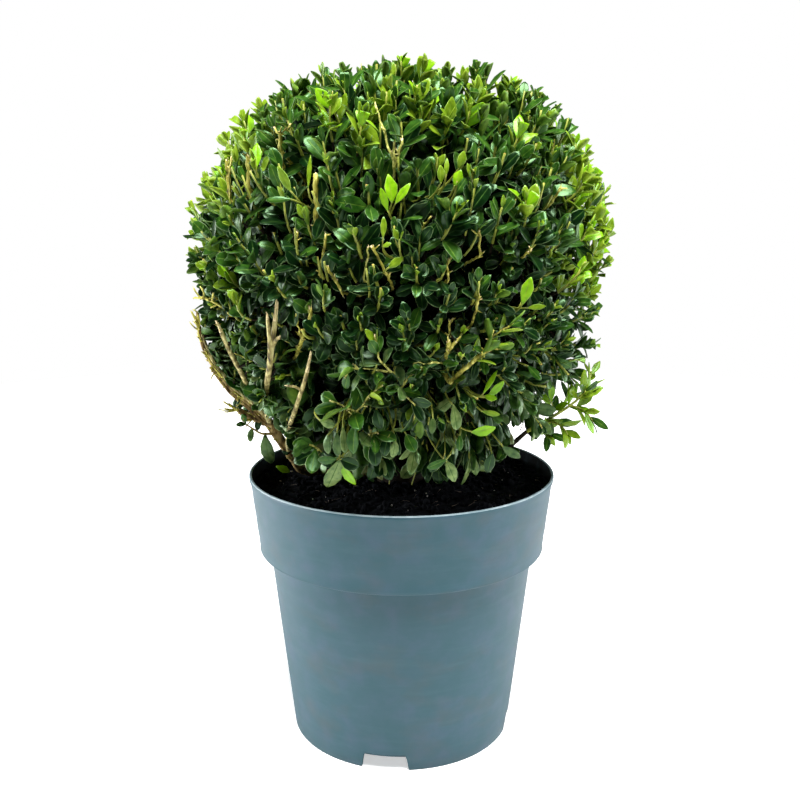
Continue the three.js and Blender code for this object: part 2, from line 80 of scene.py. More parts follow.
def unit(vectors):
    """Each vector made one long."""
    return vectors / np.maximum(np.linalg.norm(vectors, axis=-1, keepdims=True), 1e-9)


def square_to(vectors, axes):
    """Each vector without its part along an axis, made one long."""
    return unit(vectors - np.sum(vectors * axes, axis=-1, keepdims=True) * axes)


def scattered(ways, spread):
    """Each direction turned a little by chance."""
    return unit(ways + RANDOM.normal(size=ways.shape) * spread)


def cosine(degrees):
    """The cosine of an angle in degrees."""
    return np.cos(np.radians(degrees))


def smooth_step(value, low, high):
    """A soft step from 0 at low to 1 at high."""
    t = np.clip((value - low) / (high - low), 0.0, 1.0)
    return t * t * (3.0 - 2.0 * t)


def near_way(directions, way, edge, full):
    """How nearly directions point a way: a soft step from 0 at the cosine edge to 1 at the cosine full."""
    return smooth_step(directions @ unit(way), edge, full)


def outward_at(points):
    """The direction from the crown's middle to each point."""
    return unit(points - CROWN_MIDDLE)


def share_at(points):
    """How far out a point lies: 0 in the crown's middle, 1 on its outline, a rounded box turned round Z."""
    away = points - CROWN_MIDDLE
    flat = np.hypot(away[..., 0], away[..., 1]) / CROWN_RADIUS
    tall = np.abs(away[..., 2]) / CROWN_HALF_HEIGHT
    return (flat**CROWN_SQUARENESS + tall**CROWN_SQUARENESS) ** (1.0 / CROWN_SQUARENESS)


def place_at(directions, shares):
    """The point in a direction from the crown's middle that lies at a share of the way to the outline."""
    return CROWN_MIDDLE + directions * (shares / share_at(CROWN_MIDDLE + directions))[..., None]


def sighted(column, row, share):
    """Where the line of sight through a point of the photograph first meets a share of the crown."""
    ahead = np.array([0.0, np.cos(CAMERA_DIP), -np.sin(CAMERA_DIP)])
    above = np.array([0.0, np.sin(CAMERA_DIP), np.cos(CAMERA_DIP)])
    middle = PHOTO_WIDTH / 2
    sight = ahead + (column - middle) / FOCUS * RIGHT + (middle - row) / FOCUS * above
    line = CAMERA_PLACE + np.linspace(*SIGHT_RANGE, SIGHT_STEPS)[:, None] * unit(sight)
    shares = share_at(line)
    closest = np.argmin(shares)
    return line[np.argmax(shares[: closest + 1] <= max(share, shares[closest]))]


def golden_directions(count, lowest, first_turn):
    """Directions spread evenly from the top to the lowest height, each a golden angle on from the last."""
    step = np.arange(count)
    height = 1.0 - (step + 0.5) / count * (1.0 - lowest)
    turn = first_turn + step * GOLDEN_TURN
    flat = np.sqrt(1.0 - height**2)
    return np.stack([flat * np.cos(turn), flat * np.sin(turn), height], axis=-1)


def mass_of(points):
    """The number of the mass whose seed lies nearest to each point."""
    gaps = np.linalg.norm((points - CROWN_MIDDLE)[:, None, :] - SEEDS[None], axis=-1)
    return np.argmin(gaps, axis=1)


# Paths

CURVE_STEPS = 24
NEARLY_UPRIGHT = 0.8


def kinked_path(corners, count):
    """Straight runs from corner to corner, resampled at equal steps along their length."""
    corners = np.asarray(corners, dtype=float)
    along = np.concatenate([[0.0], np.cumsum(np.linalg.norm(np.diff(corners, axis=0), axis=1))])
    wanted = np.linspace(0.0, along[-1], count)
    return np.stack([np.interp(wanted, along, corners[:, i]) for i in range(3)], axis=-1)


def smooth_path(corners, count):
    """A smooth cubic curve through corner points, resampled at equal steps along its length."""
    corners = np.asarray(corners, dtype=float)
    padded = np.concatenate([[2 * corners[0] - corners[1]], corners, [2 * corners[-1] - corners[-2]]])
    t = np.linspace(0.0, 1.0, CURVE_STEPS, endpoint=False)[None, :, None]
    a, b, c, d = (padded[i : i + len(corners) - 1][:, None, :] for i in range(4))
    fine = 0.5 * (2 * b + (c - a) * t + (2 * a - 5 * b + 4 * c - d) * t**2 + (3 * b - a - 3 * c + d) * t**3)
    return kinked_path(np.concatenate([fine.reshape(-1, 3), corners[-1:]]), count)


def bent_paths(starts, bends, ends, count):
    """Many curves at once, each bent from a start towards a bend point and on to an end."""
    t = np.linspace(0.0, 1.0, count)[None, :, None]
    return (1 - t) ** 2 * starts[:, None] + 2 * t * (1 - t) * bends[:, None] + t**2 * ends[:, None]


def short_paths(feet, headings, lengths, count, sway=0.0):
    """Many short paths from feet along headings, with the middle moved by a sway."""
    ends = feet + headings * lengths[:, None]
    return bent_paths(feet, 0.5 * (feet + ends) + sway, ends, count)


def slopes(paths):
    """The direction of travel at every point of many paths."""
    return unit(np.gradient(paths, axis=1))


def cross_frames(paths):
    """The direction of many paths at every point, and two more square to it and to each other."""
    along = slopes(paths)
    run = unit(paths[:, -1] - paths[:, 0])
    spare = np.where(np.abs(run[:, 2:3]) < NEARLY_UPRIGHT, UP, RIGHT)
    first = square_to(unit(np.cross(run, spare))[:, None, :], along)
    return along, first, np.cross(along, first)


# Meshes

END_DOME = 0.35
RIDGE_BLEND = (0.6, 0.25, 0.15)
STEADY_RIDGES = 0.6
DRIFTING_RIDGES = 0.8
DRIFT_SPACING = 5
FEWEST_DRIFTS = 3


def copied(points, *kinds):
    """One mesh's faces repeated for every row of points: the points in one list, then each kind of face."""
    shift = np.arange(len(points))[:, None, None] * points.shape[1]
    return [points.reshape(-1, 3)] + [(faces + shift).reshape(-1, faces.shape[1]) for faces in kinds]


def joined(parts):
    """Several meshes in one. Each has points, four-sided faces, fans, and the material numbers of both."""
    points, quads, fans, quad_marks, fan_marks = zip(*parts)
    starts = np.cumsum([0] + [len(rows) for rows in points[:-1]])
    faces = [np.concatenate([rows + start for rows, start in zip(kind, starts)]) for kind in (quads, fans)]
    return np.concatenate(points), faces, np.concatenate(quad_marks + fan_marks)


def tube_faces(stations, sides):
    """Faces of one tube whose two poles come after its rings: four-sided walls, and fans at both ends."""
    side = np.arange(sides)
    following = (side + 1) % sides
    here = np.arange(stations - 1)[:, None] * sides
    quads = np.stack([here + side, here + following, here + following + sides, here + side + sides], axis=-1)
    last = (stations - 1) * sides
    near_pole = np.full(sides, stations * sides)
    near_fan = np.stack([near_pole, following, side], axis=-1)
    far_fan = np.stack([near_pole + 1, last + side, last + following], axis=-1)
    return quads.reshape(-1, 4), np.concatenate([near_fan, far_fan])


def tubes(paths, radii, sides, relief=0.0, torn=None):
    """Many closed tubes: a circle of some radius carried along each path, a relief on it, the ends domed.

    paths is (tubes, stations, 3), radii (tubes, stations), and relief, by side too, a share of the radius.
    torn moves the far ring along the path. Returns points, four-sided faces, end faces, far-end flags.
    """
    along, first, second = cross_frames(paths)
    turn = np.arange(sides) / sides * FULL_TURN
    ring = np.cos(turn)[:, None] * first[:, :, None, :] + np.sin(turn)[:, None] * second[:, :, None, :]
    width = radii[:, :, None] * (1.0 + relief)
    rings = paths[:, :, None, :] + ring * width[..., None]
    if torn is not None:
        rings[:, -1] += torn[..., None] * along[:, -1][:, None, :]
    near = paths[:, :1] - along[:, :1] * radii[:, :1, None] * END_DOME
    far = paths[:, -1:] + along[:, -1:] * radii[:, -1:, None] * END_DOME
    points = np.concatenate([rings.reshape(len(paths), -1, 3), near, far], axis=1)
    far_flags = np.tile(np.repeat([False, True], sides), len(paths))
    return *copied(points, *tube_faces(paths.shape[1], sides)), far_flags


def tapered(paths, foot, tip, thick=1.0):
    """Radii along many paths, going evenly from foot to tip, times the thickness of each path."""
    return np.linspace(foot, tip, paths.shape[1])[None] * (thick * np.ones((len(paths), 1)))


def bark_relief(number, stations, sides, depth):
    """Lengthwise ridges: one random share of the radius for each side, drifting slowly along the limb."""
    knots = max(stations // DRIFT_SPACING, FEWEST_DRIFTS)
    drift = RANDOM.normal(size=(number, knots, sides))
    own, before, behind = RIDGE_BLEND
    drift = own * drift + before * np.roll(drift, 1, axis=2) + behind * np.roll(drift, -1, axis=2)
    steady = RANDOM.normal(size=(number, 1, sides))
    place = np.linspace(0.0, knots - 1.001, stations)
    low = place.astype(int)
    part = (place - low)[None, :, None]
    drift = drift[:, low] * (1 - part) + drift[:, low + 1] * part
    return depth * (STEADY_RIDGES * steady + DRIFTING_RIDGES * drift)


def new_object(name, data):
    """An object of that data at the origin, put into the scene."""
    obj = bpy.data.objects.new(name, data)
    bpy.context.scene.collection.objects.link(obj)
    return obj


def make_piece(name, points, faces, materials, stands_for=(), face_materials=None):
    """One smooth mesh object from points and lists of faces, riding on the part's body."""
    mesh = bpy.data.meshes.new(name)
    corners = np.concatenate([rows.ravel() for rows in faces]).astype(np.int32)
    sizes = np.concatenate([np.full(len(rows), rows.shape[1]) for rows in faces])
    starts = np.concatenate([[0], np.cumsum(sizes)[:-1]]).astype(np.int32)
    mesh.vertices.add(len(points))
    mesh.vertices.foreach_set("co", (points * MM).astype(np.float32).ravel())
    mesh.loops.add(len(corners))
    mesh.loops.foreach_set("vertex_index", corners)
    mesh.polygons.add(len(sizes))
    mesh.polygons.foreach_set("loop_start", starts)
    mesh.polygons.foreach_set("use_smooth", np.ones(len(sizes), bool))
    for material in materials:
        mesh.materials.append(material)
    if face_materials is not None:
        mesh.polygons.foreach_set("material_index", np.asarray(face_materials, dtype=np.int32))
    mesh.update(calc_edges=True)
    obj = new_object(name, mesh)
    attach(obj, "root")
    if stands_for:
        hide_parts(*stands_for)
    return obj


def tube_piece(name, paths, radii, sides, material, relief=0.0):
    """One piece of many tubes in one material."""
    points, quads, ends, _ = tubes(paths, radii, sides, relief)
    make_piece(name, points, [quads, ends], [material])


# Materials

BLOTCH_SPAN = (0.32, 0.68)
GRAIN_DETAIL = 4.0
PATCH_DETAIL = 5.0
BUMP_STRENGTH = 0.6
WHITE = (1.0, 1.0, 1.0, 1.0)


def linear(red, green, blue):
    """A colour given as seen on a screen, 0 to 255, turned into light."""
    seen = np.array([red, green, blue]) / 255.0
    light = np.where(seen <= 0.04045, seen / 12.92, ((seen + 0.055) / 1.055) ** 2.4)
    return (*light.tolist(), 1.0)


def set_inputs(tree, node, inputs):
    """Each input of a node given a value, or linked from another node's output."""
    for name, value in inputs.items():
        if isinstance(value, bpy.types.NodeSocket):
            tree.links.new(value, node.inputs[name])
        else:
            node.inputs[name].default_value = value


def add_node(tree, kind, inputs, **settings):
    """A new node of a kind, with its settings and its inputs."""
    node = tree.nodes.new("ShaderNode" + kind)
    for name, value in settings.items():
        setattr(node, name, value)
    set_inputs(tree, node, inputs)
    return node


def noise_over(tree, size, detail, squeeze):
    """Noise of a size in millimetres, squeezed along Z; a squeeze below 1 draws upright streaks."""
    place = add_node(tree, "TexCoord", {}).outputs["Object"]
    squeezed = add_node(tree, "Mapping", {"Vector": place, "Scale": (1.0, 1.0, squeeze)}).outputs["Vector"]
    inputs = {"Vector": squeezed, "Scale": 1.0 / (size * MM), "Detail": detail}
    return add_node(tree, "TexNoise", inputs).outputs["Fac"]


def blotched_material(
    name, colours, blotch, roughness, grain, depth, gloss=0.5, detail=3.0, squeeze=1.0, sheen=WHITE
):
    """Two or three near colours in soft blotches, over a fine grain of some depth, sizes in millimetres."""
    material = bpy.data.materials.new(name)
    material.use_nodes = True
    tree = material.node_tree
    ramp = add_node(tree, "ValToRGB", {"Fac": noise_over(tree, blotch, detail, squeeze)})
    bands = ramp.color_ramp.elements
    stops = np.linspace(*BLOTCH_SPAN, len(colours))
    bands[0].position = stops[0]
    bands[1].position = stops[-1]
    bands[0].color = linear(*colours[0])
    bands[1].color = linear(*colours[-1])
    for stop, colour in zip(stops[1:-1], colours[1:-1]):
        bands.new(stop).color = linear(*colour)
    height = noise_over(tree, grain, GRAIN_DETAIL, squeeze)
    bump = add_node(tree, "Bump", {"Strength": BUMP_STRENGTH, "Distance": depth * MM, "Height": height})
    skin = {
        "Base Color": ramp.outputs["Color"],
        "Normal": bump.outputs["Normal"],
        "Roughness": roughness,
        "Specular IOR Level": gloss,
        "Specular Tint": sheen,
    }
    set_inputs(tree, tree.nodes["Principled BSDF"], skin)
    return material


def laid_over(material, colour, size, squeeze, low, high, most):
    """One more colour laid over a material in patches of a size in millimetres, squeezed along Z.

    low and high are the noise values where a patch starts and is full, most how far it covers.
    """
    tree = material.node_tree
    shader = tree.nodes["Principled BSDF"]
    patches = noise_over(tree, size, PATCH_DETAIL, squeeze)
    cover = add_node(tree, "MapRange", {"Value": patches, "From Min": low, "From Max": high, "To Max": most})
    under = shader.inputs["Base Color"].links[0].from_socket
    layers = {"Factor": cover.outputs["Result"], "A": under, "B": linear(*colour)}
    mix = add_node(tree, "Mix", layers, data_type="RGBA")
    set_inputs(tree, shader, {"Base Color": mix.outputs["Result"]})


POT_PLASTIC = blotched_material(
    "pot_plastic", [(31, 73, 83), (38, 75, 87), (48, 77, 93)], 16, 0.50, 0.6, 0.03, gloss=0.40
)
laid_over(POT_PLASTIC, (66, 72, 74), 34, 1.6, 0.52, 0.78, 0.5)
laid_over(POT_PLASTIC, (62, 94, 104), 40, 7.0, 0.50, 0.80, 0.25)
# Painted highlight: the top of the rim is coloured paler where light from above catches it.
POT_RIM_HIGHLIGHT = blotched_material("pot_rim_highlight", [(126, 148, 156), (166, 184, 190)], 12, 0.45, 0.6, 0.03, gloss=0.4)
# Near black colour for the inside of the wall, from the rim down past the compost.
POT_INSIDE_DARK = blotched_material(
    "pot_inside_dark", [(7, 9, 12), (13, 18, 22), (30, 44, 50)], 9, 0.85, 0.8, 0.3, gloss=0.2
)
COMPOST = blotched_material(
    "compost", [(4, 7, 12), (8, 12, 18), (18, 21, 27)], 3.0, 0.95, 0.8, 0.5, gloss=0.1
)
CRUMB = blotched_material(
    "compost_crumb", [(5, 8, 12), (11, 14, 19), (26, 28, 33)], 4.0, 0.95, 0.5, 0.3, gloss=0.1
)
FIBRE = blotched_material("compost_fibre", [(74, 64, 56), (128, 116, 102)], 5.0, 0.8, 0.4, 0.1)
SPECK = blotched_material("compost_speck", [(170, 165, 158), (215, 212, 205)], 3.0, 0.7, 0.4, 0.1)
BARK_COLOURS = [(44, 34, 20), (112, 92, 52), (178, 158, 104)]
BARK = blotched_material("bark", BARK_COLOURS, 3.2, 0.9, 0.9, 0.25, gloss=0.2, detail=6.0, squeeze=0.3)
# Painted shade: near black bark for the trunk, inner boughs, branches and shoot feet inside the crown.
PAINTED_SHADE_BARK = blotched_material("painted_shade_bark", [(16, 13, 8), (44, 35, 21)], 4.0, 0.85, 0.6, 0.3, gloss=0.2)
TWIG_BARK = blotched_material(
    "twig_bark", [(96, 74, 34), (146, 122, 62), (176, 158, 92)], 5.0, 0.7, 0.6, 0.15
)
STREAKED = {"roughness": 0.75, "grain": 0.5, "depth": 0.3, "detail": 5.0}
STUB_BARK = blotched_material(
    "stub_bark", [(68, 64, 14), (162, 156, 50), (226, 220, 118)], 2.5, squeeze=0.35, **STREAKED
)
OLD_STUB_BARK = blotched_material(
    "old_stub_bark", [(56, 46, 24), (142, 130, 72), (212, 204, 140)], 2.5, squeeze=0.35, **STREAKED
)
SALLOW_BARK = blotched_material(
    "sallow_bark", [(82, 84, 26), (152, 154, 60), (216, 214, 128)], 2.2, squeeze=0.6, **STREAKED
)
GREEN_STEM = blotched_material("green_stem", [(112, 124, 36), (166, 172, 70)], 6.0, 0.5, 0.6, 0.08)
CLIPPED_TIP = blotched_material(
    "clipped_tip", [(136, 112, 44), (196, 176, 88)], 2.0, 0.8, 0.3, 0.15, gloss=0.2
)
CUT_WOOD = blotched_material("cut_wood", [(206, 182, 122), (238, 224, 176)], 2.0, 0.8, 0.3, 0.15)

LEAF_TONES = {
    "dark": [(2, 17, 3), (9, 37, 9)],
    "mid": [(20, 51, 8), (51, 88, 24)],
    # fresh and lime: young leaves' own yellow-green, made brighter as painted light passing through them.
    "fresh": [(86, 116, 13), (122, 150, 34)],
    "lime": [(98, 148, 8), (130, 178, 22)],
    "dusty": [(30, 52, 23), (78, 98, 52)],
    "worn": [(66, 76, 42), (106, 108, 68)],
    # deep: near black leaves inside the crown, painted shade.
    "deep": [(3, 11, 5), (7, 22, 9)],
    # pale: paler old leaves low down, lightened further as painted highlight.
    "pale": [(60, 82, 38), (118, 136, 78)],
}
TONES = list(LEAF_TONES)
DARK, MID, FRESH, LIME, DUSTY, WORN, DEEP_SHADE_TONE, PALE = range(len(TONES))
YOUNG = np.array([tone in ("fresh", "lime") for tone in TONES])
LEAF_SHEEN = (0.55, 1.0, 0.5, 1.0)
LEAF_GLOSS = {**dict.fromkeys(TONES, 0.37), "deep": 0.08}
LEAF_SKINS = [
    blotched_material("leaf_" + tone, colours, 4.0, 0.28, 0.9, 0.10, LEAF_GLOSS[tone], sheen=LEAF_SHEEN)
    for tone, colours in LEAF_TONES.items()
]
# Painted highlight: pale leaf margins stand for the glint where light catches a leaf's edge.
LEAF_RIM_HIGHLIGHTS = [
    blotched_material("leaf_rim_highlight_old", [(44, 74, 34), (116, 142, 88)], 3.0, 0.45, 0.9, 0.05, gloss=0.2),
    blotched_material("leaf_rim_highlight_young", [(112, 156, 40), (164, 194, 92)], 3.0, 0.45, 0.9, 0.05, gloss=0.2),
]
# Leaf undersides: their own paler green, made brighter as painted light passing through the leaf.
LEAF_BACKS = [
    blotched_material("leaf_back_old", [(28, 60, 13), (62, 98, 33)], 4.0, 0.5, 0.9, 0.08, gloss=0.2),
    blotched_material("leaf_back_young", [(100, 130, 18), (136, 162, 40)], 4.0, 0.5, 0.9, 0.08, gloss=0.3),
    blotched_material("leaf_back_mid", [(54, 88, 20), (100, 132, 42)], 4.0, 0.5, 0.9, 0.08, gloss=0.2),
]
LEAF_MATERIALS = LEAF_SKINS + LEAF_RIM_HIGHLIGHTS + LEAF_BACKS
FIRST_RIM_HIGHLIGHT = len(LEAF_SKINS)
FIRST_BACK = FIRST_RIM_HIGHLIGHT + len(LEAF_RIM_HIGHLIGHTS)
MID_BACK = FIRST_BACK + 2


# Pot and compost: corners of profiles are radius and height

POT_HEIGHT = 202.0
RIM_RADIUS = 115.0
BASE_RADIUS = 84.0
WALL = 1.8
COLLAR_FOOT = 144.0
COLLAR_FOOT_RADIUS = 107.5
BODY_TOP_RADIUS = 100.2
LIP_PROUD = 0.8
SOLE_CHAMFER = 0.5
BODY_HEIGHTS = np.array([0.0, 0.8, 8.0, 16.0, 30.0, 70.0, 110.0, 132.0, 141.8])
COLLAR_HEIGHTS = np.array([156.0, 163.0, 170.0, 177.0, 184.0, 191.0, 196.2])
COLLAR_RIPPLE = 0.12
RIPPLE_PITCH = 0.55
STEP = [(100.4, 142.1), (103.6, 143.1), (106.8, 144.1), (107.6, 144.5), (108.1, 145.3), (107.9, 146.8)]
LIP = [(114.5, 198.6), (114.8, 200.4), (114.7, 201.3), (114.2, 201.9), (113.2, 202.0)]
LIP_INSIDE = [(112.6, 201.5), (112.3, 199.0)]
COLLAR_INSIDE = [(111.2, 186.0), (106.4, 152.0), (105.6, 147.6), (98.9, 144.4), (98.0, 138.0)]
# The last points of the lip bound the faces that take the painted highlight on the rim's top.
HIGHLIGHT_RIM_POINTS = 3
FLOOR_TOP = [(83.3, 12.4), (73.0, 12.4), (71.4, 11.8), (62.6, 2.4), (61.0, 1.8), (0.5, 1.8)]
FLOOR_UNDER = [(0.5, 0.0), (61.4, 0.0), (62.4, 0.4), (71.4, 9.6), (73.0, 10.4), (83.3, 10.4)]
NOTCH_TURNS = np.radians(-90.0 - 8.2 + 90.0 * np.arange(4))
NOTCH_HALF_FOOT = 17.25
NOTCH_HALF_TOP = 13.5
NOTCH_HEIGHT = 12.6
NOTCH_ROUNDING = 2.4
NOTCH_MARGIN = 1.0
NOTCH_STEPS = 61
WALL_TURNS = 120
FLOOR_TURNS = 160
BED_TURNS = 300
BED_RINGS = 110
SQUEEZE_TOP = 30.0
INNER_FOOT_HEIGHTS = (SQUEEZE_TOP, 8.0, 0.0)
SHARP_ANGLE = np.radians(40)
PLAIN_FINISH, RIM_HIGHLIGHT_FINISH, DARK_INSIDE_FINISH = range(3)


def turned(turns, radius, height):
    """Points of a profile carried round the axis: one row of stations for each angle."""
    x = radius * np.cos(turns)[:, None]
    y = radius * np.sin(turns)[:, None]
    return np.stack([x, y, np.broadcast_to(height, x.shape)], axis=-1)


def ring_faces(turns, stations):
    """Four-sided faces of a closed profile turned right round, outward when it climbs on the outside."""
    turn = np.arange(turns)[:, None]
    here = turn * stations
    ahead = (turn + 1) % turns * stations
    station = np.arange(stations)[None]
    above = (station + 1) % stations
    rows = [here + station, ahead + station, ahead + above, here + above]
    return np.stack(rows, axis=-1).reshape(-1, 4)


def notch_edge(turns):
    """Height of the pot's lower edge at each angle: nought, but for four notches with steep flanks."""
    off = np.abs((turns[:, None] - NOTCH_TURNS[None] + np.pi) % FULL_TURN - np.pi).min(axis=1) * BASE_RADIUS
    flank = np.clip((NOTCH_HALF_FOOT - off) / (NOTCH_HALF_FOOT - NOTCH_HALF_TOP), 0.0, 1.0)
    return NOTCH_HEIGHT * (1.0 - (1.0 - flank) ** NOTCH_ROUNDING)


def pot_wall():
    """The wall turned round the axis: up body, step, collar and lip, and down the inside again.

    The lower edge follows the notches, so the lowest heights are squeezed up over them. Gives each face's
    finish too: plain, a painted highlight on the top of the rim, or near black on the inside.
    """
    reach = NOTCH_HALF_FOOT + NOTCH_MARGIN
    near = np.linspace(-reach, reach, NOTCH_STEPS) / BASE_RADIUS
    around = np.linspace(0, FULL_TURN, WALL_TURNS, endpoint=False)
    turns = np.concatenate([around, (NOTCH_TURNS[:, None] + near).ravel()])
    turns = np.unique(np.round(turns % FULL_TURN, 4))
    lean = (BODY_TOP_RADIUS - BASE_RADIUS) / COLLAR_FOOT
    body_radius = BASE_RADIUS + lean * BODY_HEIGHTS
    body_radius[0] -= SOLE_CHAMFER
    collar_lean = (RIM_RADIUS - LIP_PROUD - COLLAR_FOOT_RADIUS) / (POT_HEIGHT - COLLAR_FOOT)
    ripple = COLLAR_RIPPLE * np.sin(COLLAR_HEIGHTS * RIPPLE_PITCH)
    collar_radius = COLLAR_FOOT_RADIUS + collar_lean * (COLLAR_HEIGHTS - COLLAR_FOOT) + ripple
    body = np.stack([body_radius, BODY_HEIGHTS], axis=1)
    collar = np.stack([collar_radius, COLLAR_HEIGHTS], axis=1)
    outer = np.concatenate([body, STEP, collar, LIP])
    inner = np.concatenate([LIP_INSIDE, COLLAR_INSIDE])
    foot = np.array([[BASE_RADIUS - WALL + lean * height, height] for height in INNER_FOOT_HEIGHTS])
    radius, height = np.concatenate([outer, inner, foot]).T[:, None]
    squeeze = notch_edge(turns)[:, None] * np.clip(1.0 - height / SQUEEZE_TOP, 0.0, 1.0)
    points = turned(turns, radius + lean * squeeze, height + squeeze)
    counts = [len(outer) - HIGHLIGHT_RIM_POINTS, HIGHLIGHT_RIM_POINTS, len(inner), len(foot)]
    finish = np.repeat([PLAIN_FINISH, RIM_HIGHLIGHT_FINISH, DARK_INSIDE_FINISH, PLAIN_FINISH], counts)
    return points, ring_faces(len(turns), radius.shape[1]), np.tile(finish, len(turns))


def pot_floor():
    """The floor turned round the axis: a flat sole, a slope up to the drain gutter, and the gutter."""
    turns = np.linspace(0, FULL_TURN, FLOOR_TURNS, endpoint=False)
    radius, height = np.array(FLOOR_TOP + FLOOR_UNDER).T[:, None]
    return turned(turns, radius, height), ring_faces(len(turns), radius.shape[1])


def build_pot():
    """Wall and floor of the pot as one piece."""
    wall, wall_faces, finish = pot_wall()
    floor, floor_faces = pot_floor()
    points = np.concatenate([wall.reshape(-1, 3), floor.reshape(-1, 3)])
    faces = [np.concatenate([wall_faces, floor_faces + wall.size // 3])]
    finish = np.concatenate([finish, np.full(len(floor_faces), PLAIN_FINISH)])
    skins = [POT_PLASTIC, POT_RIM_HIGHLIGHT, POT_INSIDE_DARK]
    pot = make_piece("pot_shell", points, faces, skins, ["pot"], face_materials=finish)
    pot.data.set_sharp_from_angle(angle=SHARP_ANGLE)


BED_RADIUS = 111.3
BED_HOLE = 0.4
PLUG_RADII = [110.6, 105.0, BED_HOLE]
PLUG_HEIGHTS = [180.0, 150.0, 150.0]
CRUMBS = 1500
CRUMB_REACH = 108.0
CRUMB_CLEAR = 0.02
CRUMB_LIFT = 0.25
CRUMB_SPREAD = (3.0, 0.32)
LEAST_CRUMB = 0.4
LEAST_SPECK = 0.5
SPECK_GROWTH = 0.5
PALE_SHARE = 0.035
LUMP_SIDES = 7
LUMP_LIFTS = np.array([-0.75, 0.0, 0.75])
LUMP_STRETCH = (0.65, 1.35)
LUMP_PUSH = (0.7, 1.25)
FIBRES = 80
FIBRE_REACH = 106.0
FIBRE_CLEAR = 0.15
FIBRE_LIMIT = 109.0
FIBRE_STATIONS = 5
FIBRE_SIDES = 4
FIBRE_LENGTHS = (2.5, 8.0)
FIBRE_RADII = (0.12, 0.3)
FIBRE_BOW = 1.2
FIBRE_LIFT = 0.5


def soil_height(x, y):
    """Height of the compost: slow waves, clods of some millimetres, and a drop towards the wall."""
    slow = 1.0 * np.sin(0.09 * x + 0.05 * y) + 0.8 * np.sin(-0.11 * x + 0.07 * y + 1.3)
    clods = 0.9 * np.sin(0.41 * x + 1.7 * np.sin(0.13 * y)) * np.sin(0.37 * y + 1.9 * np.sin(0.17 * x))
    fine = 0.45 * np.sin(1.1 * x + 2.0 * np.sin(0.5 * y)) * np.sin(1.3 * y + 1.5 * np.sin(0.6 * x))
    edge = -2.5 * smooth_step(np.hypot(x, y), 80.0, 110.0)
    return SOIL + slow + clods + fine + edge


def build_compost():
    """A bumpy disc of compost on a plug that goes down into the pot."""
    turns = np.linspace(0, FULL_TURN, BED_TURNS, endpoint=False)
    radii = np.concatenate([np.linspace(BED_HOLE, BED_RADIUS, BED_RINGS), PLUG_RADII])
    points = turned(turns, radii[None], 0.0)
    points[..., 2] = soil_height(points[..., 0], points[..., 1])
    points[:, -len(PLUG_HEIGHTS) :, 2] = PLUG_HEIGHTS
    faces = ring_faces(len(turns), len(radii))[:, ::-1]
    make_piece("compost_bed", points.reshape(-1, 3), [faces], [COMPOST], ["compost"])


def lumps(centres, sizes):
    """Many small stones: three rings of points and two poles, every point pushed in or out at random."""
    turn = np.arange(LUMP_SIDES) / LUMP_SIDES * FULL_TURN
    rings = turned(turn, np.cos(LUMP_LIFTS)[None], np.sin(LUMP_LIFTS)[None]).swapaxes(0, 1)
    ball = np.concatenate([rings.reshape(-1, 3), [-UP, UP]])
    stretch = RANDOM.uniform(*LUMP_STRETCH, size=(len(centres), 1, 3))
    push = RANDOM.uniform(*LUMP_PUSH, size=(len(centres), len(ball), 1))
    points = centres[:, None] + ball[None] * stretch * push * sizes[:, None, None]
    return copied(points, *tube_faces(len(LUMP_LIFTS), LUMP_SIDES))


def strewn(count, reach, least):
    """Places strewn over a round bed by chance, from a least share of its area outwards."""
    radius = reach * np.sqrt(RANDOM.uniform(least, 1.0, count))
    turn = RANDOM.uniform(0, FULL_TURN, count)
    return np.stack([radius * np.cos(turn), radius * np.sin(turn)], axis=-1)


def build_crumbs():
    """Crumbs of compost, pale specks and fibres strewn over the bed by chance."""
    x, y = strewn(CRUMBS, CRUMB_REACH, CRUMB_CLEAR).T
    sizes = RANDOM.gamma(*CRUMB_SPREAD, CRUMBS) + LEAST_CRUMB
    pale = RANDOM.uniform(size=CRUMBS) < PALE_SHARE
    sizes[pale] = LEAST_SPECK + SPECK_GROWTH * RANDOM.uniform(size=pale.sum())
    centres = np.stack([x, y, soil_height(x, y) + CRUMB_LIFT * sizes], axis=-1)
    points, quads, fans = lumps(centres, sizes)
    marks = np.concatenate([np.repeat(pale, len(faces) // CRUMBS) for faces in (quads, fans)])
    make_piece("compost_crumbs", points, [quads, fans], [CRUMB, SPECK], face_materials=marks)
    middle = strewn(FIBRES, FIBRE_REACH, FIBRE_CLEAR)
    heading = RANDOM.uniform(0, FULL_TURN, FIBRES)
    way = np.stack([np.cos(heading), np.sin(heading)], axis=-1)
    half = 0.5 * RANDOM.uniform(*FIBRE_LENGTHS, FIBRES)[:, None] * way
    bow = RANDOM.normal(size=(FIBRES, 2)) * FIBRE_BOW
    corners = (np.pad(places, ((0, 0), (0, 1))) for places in (middle - half, middle + bow, middle + half))
    paths = bent_paths(*corners, FIBRE_STATIONS)
    paths = paths[np.hypot(paths[..., 0], paths[..., 1]).max(axis=1) < FIBRE_LIMIT]
    paths[..., 2] = soil_height(paths[..., 0], paths[..., 1]) + FIBRE_LIFT
    slim = RANDOM.uniform(*FIBRE_RADII, len(paths))[:, None]
    tube_piece("compost_fibres", paths, tapered(paths, 1.0, 1.0, slim), FIBRE_SIDES, FIBRE)


# Trunk, boughs and cut limbs: corners, and the radius at foot and tip

LOW_FORK = (-96, -25, 244)
BOUGH_TIP_SHARE = 0.41
FOOT_DROP = 14.0
TOP_FOOT_DROP = 4.0
KNEE_OUT = 0.34
KNEE_UP = 0.3
KNEE_LIFT = 4.0
TOP_THICKNESS = (5.6, 3.2)
SIDE_THICKNESS = (4.6, 2.8)


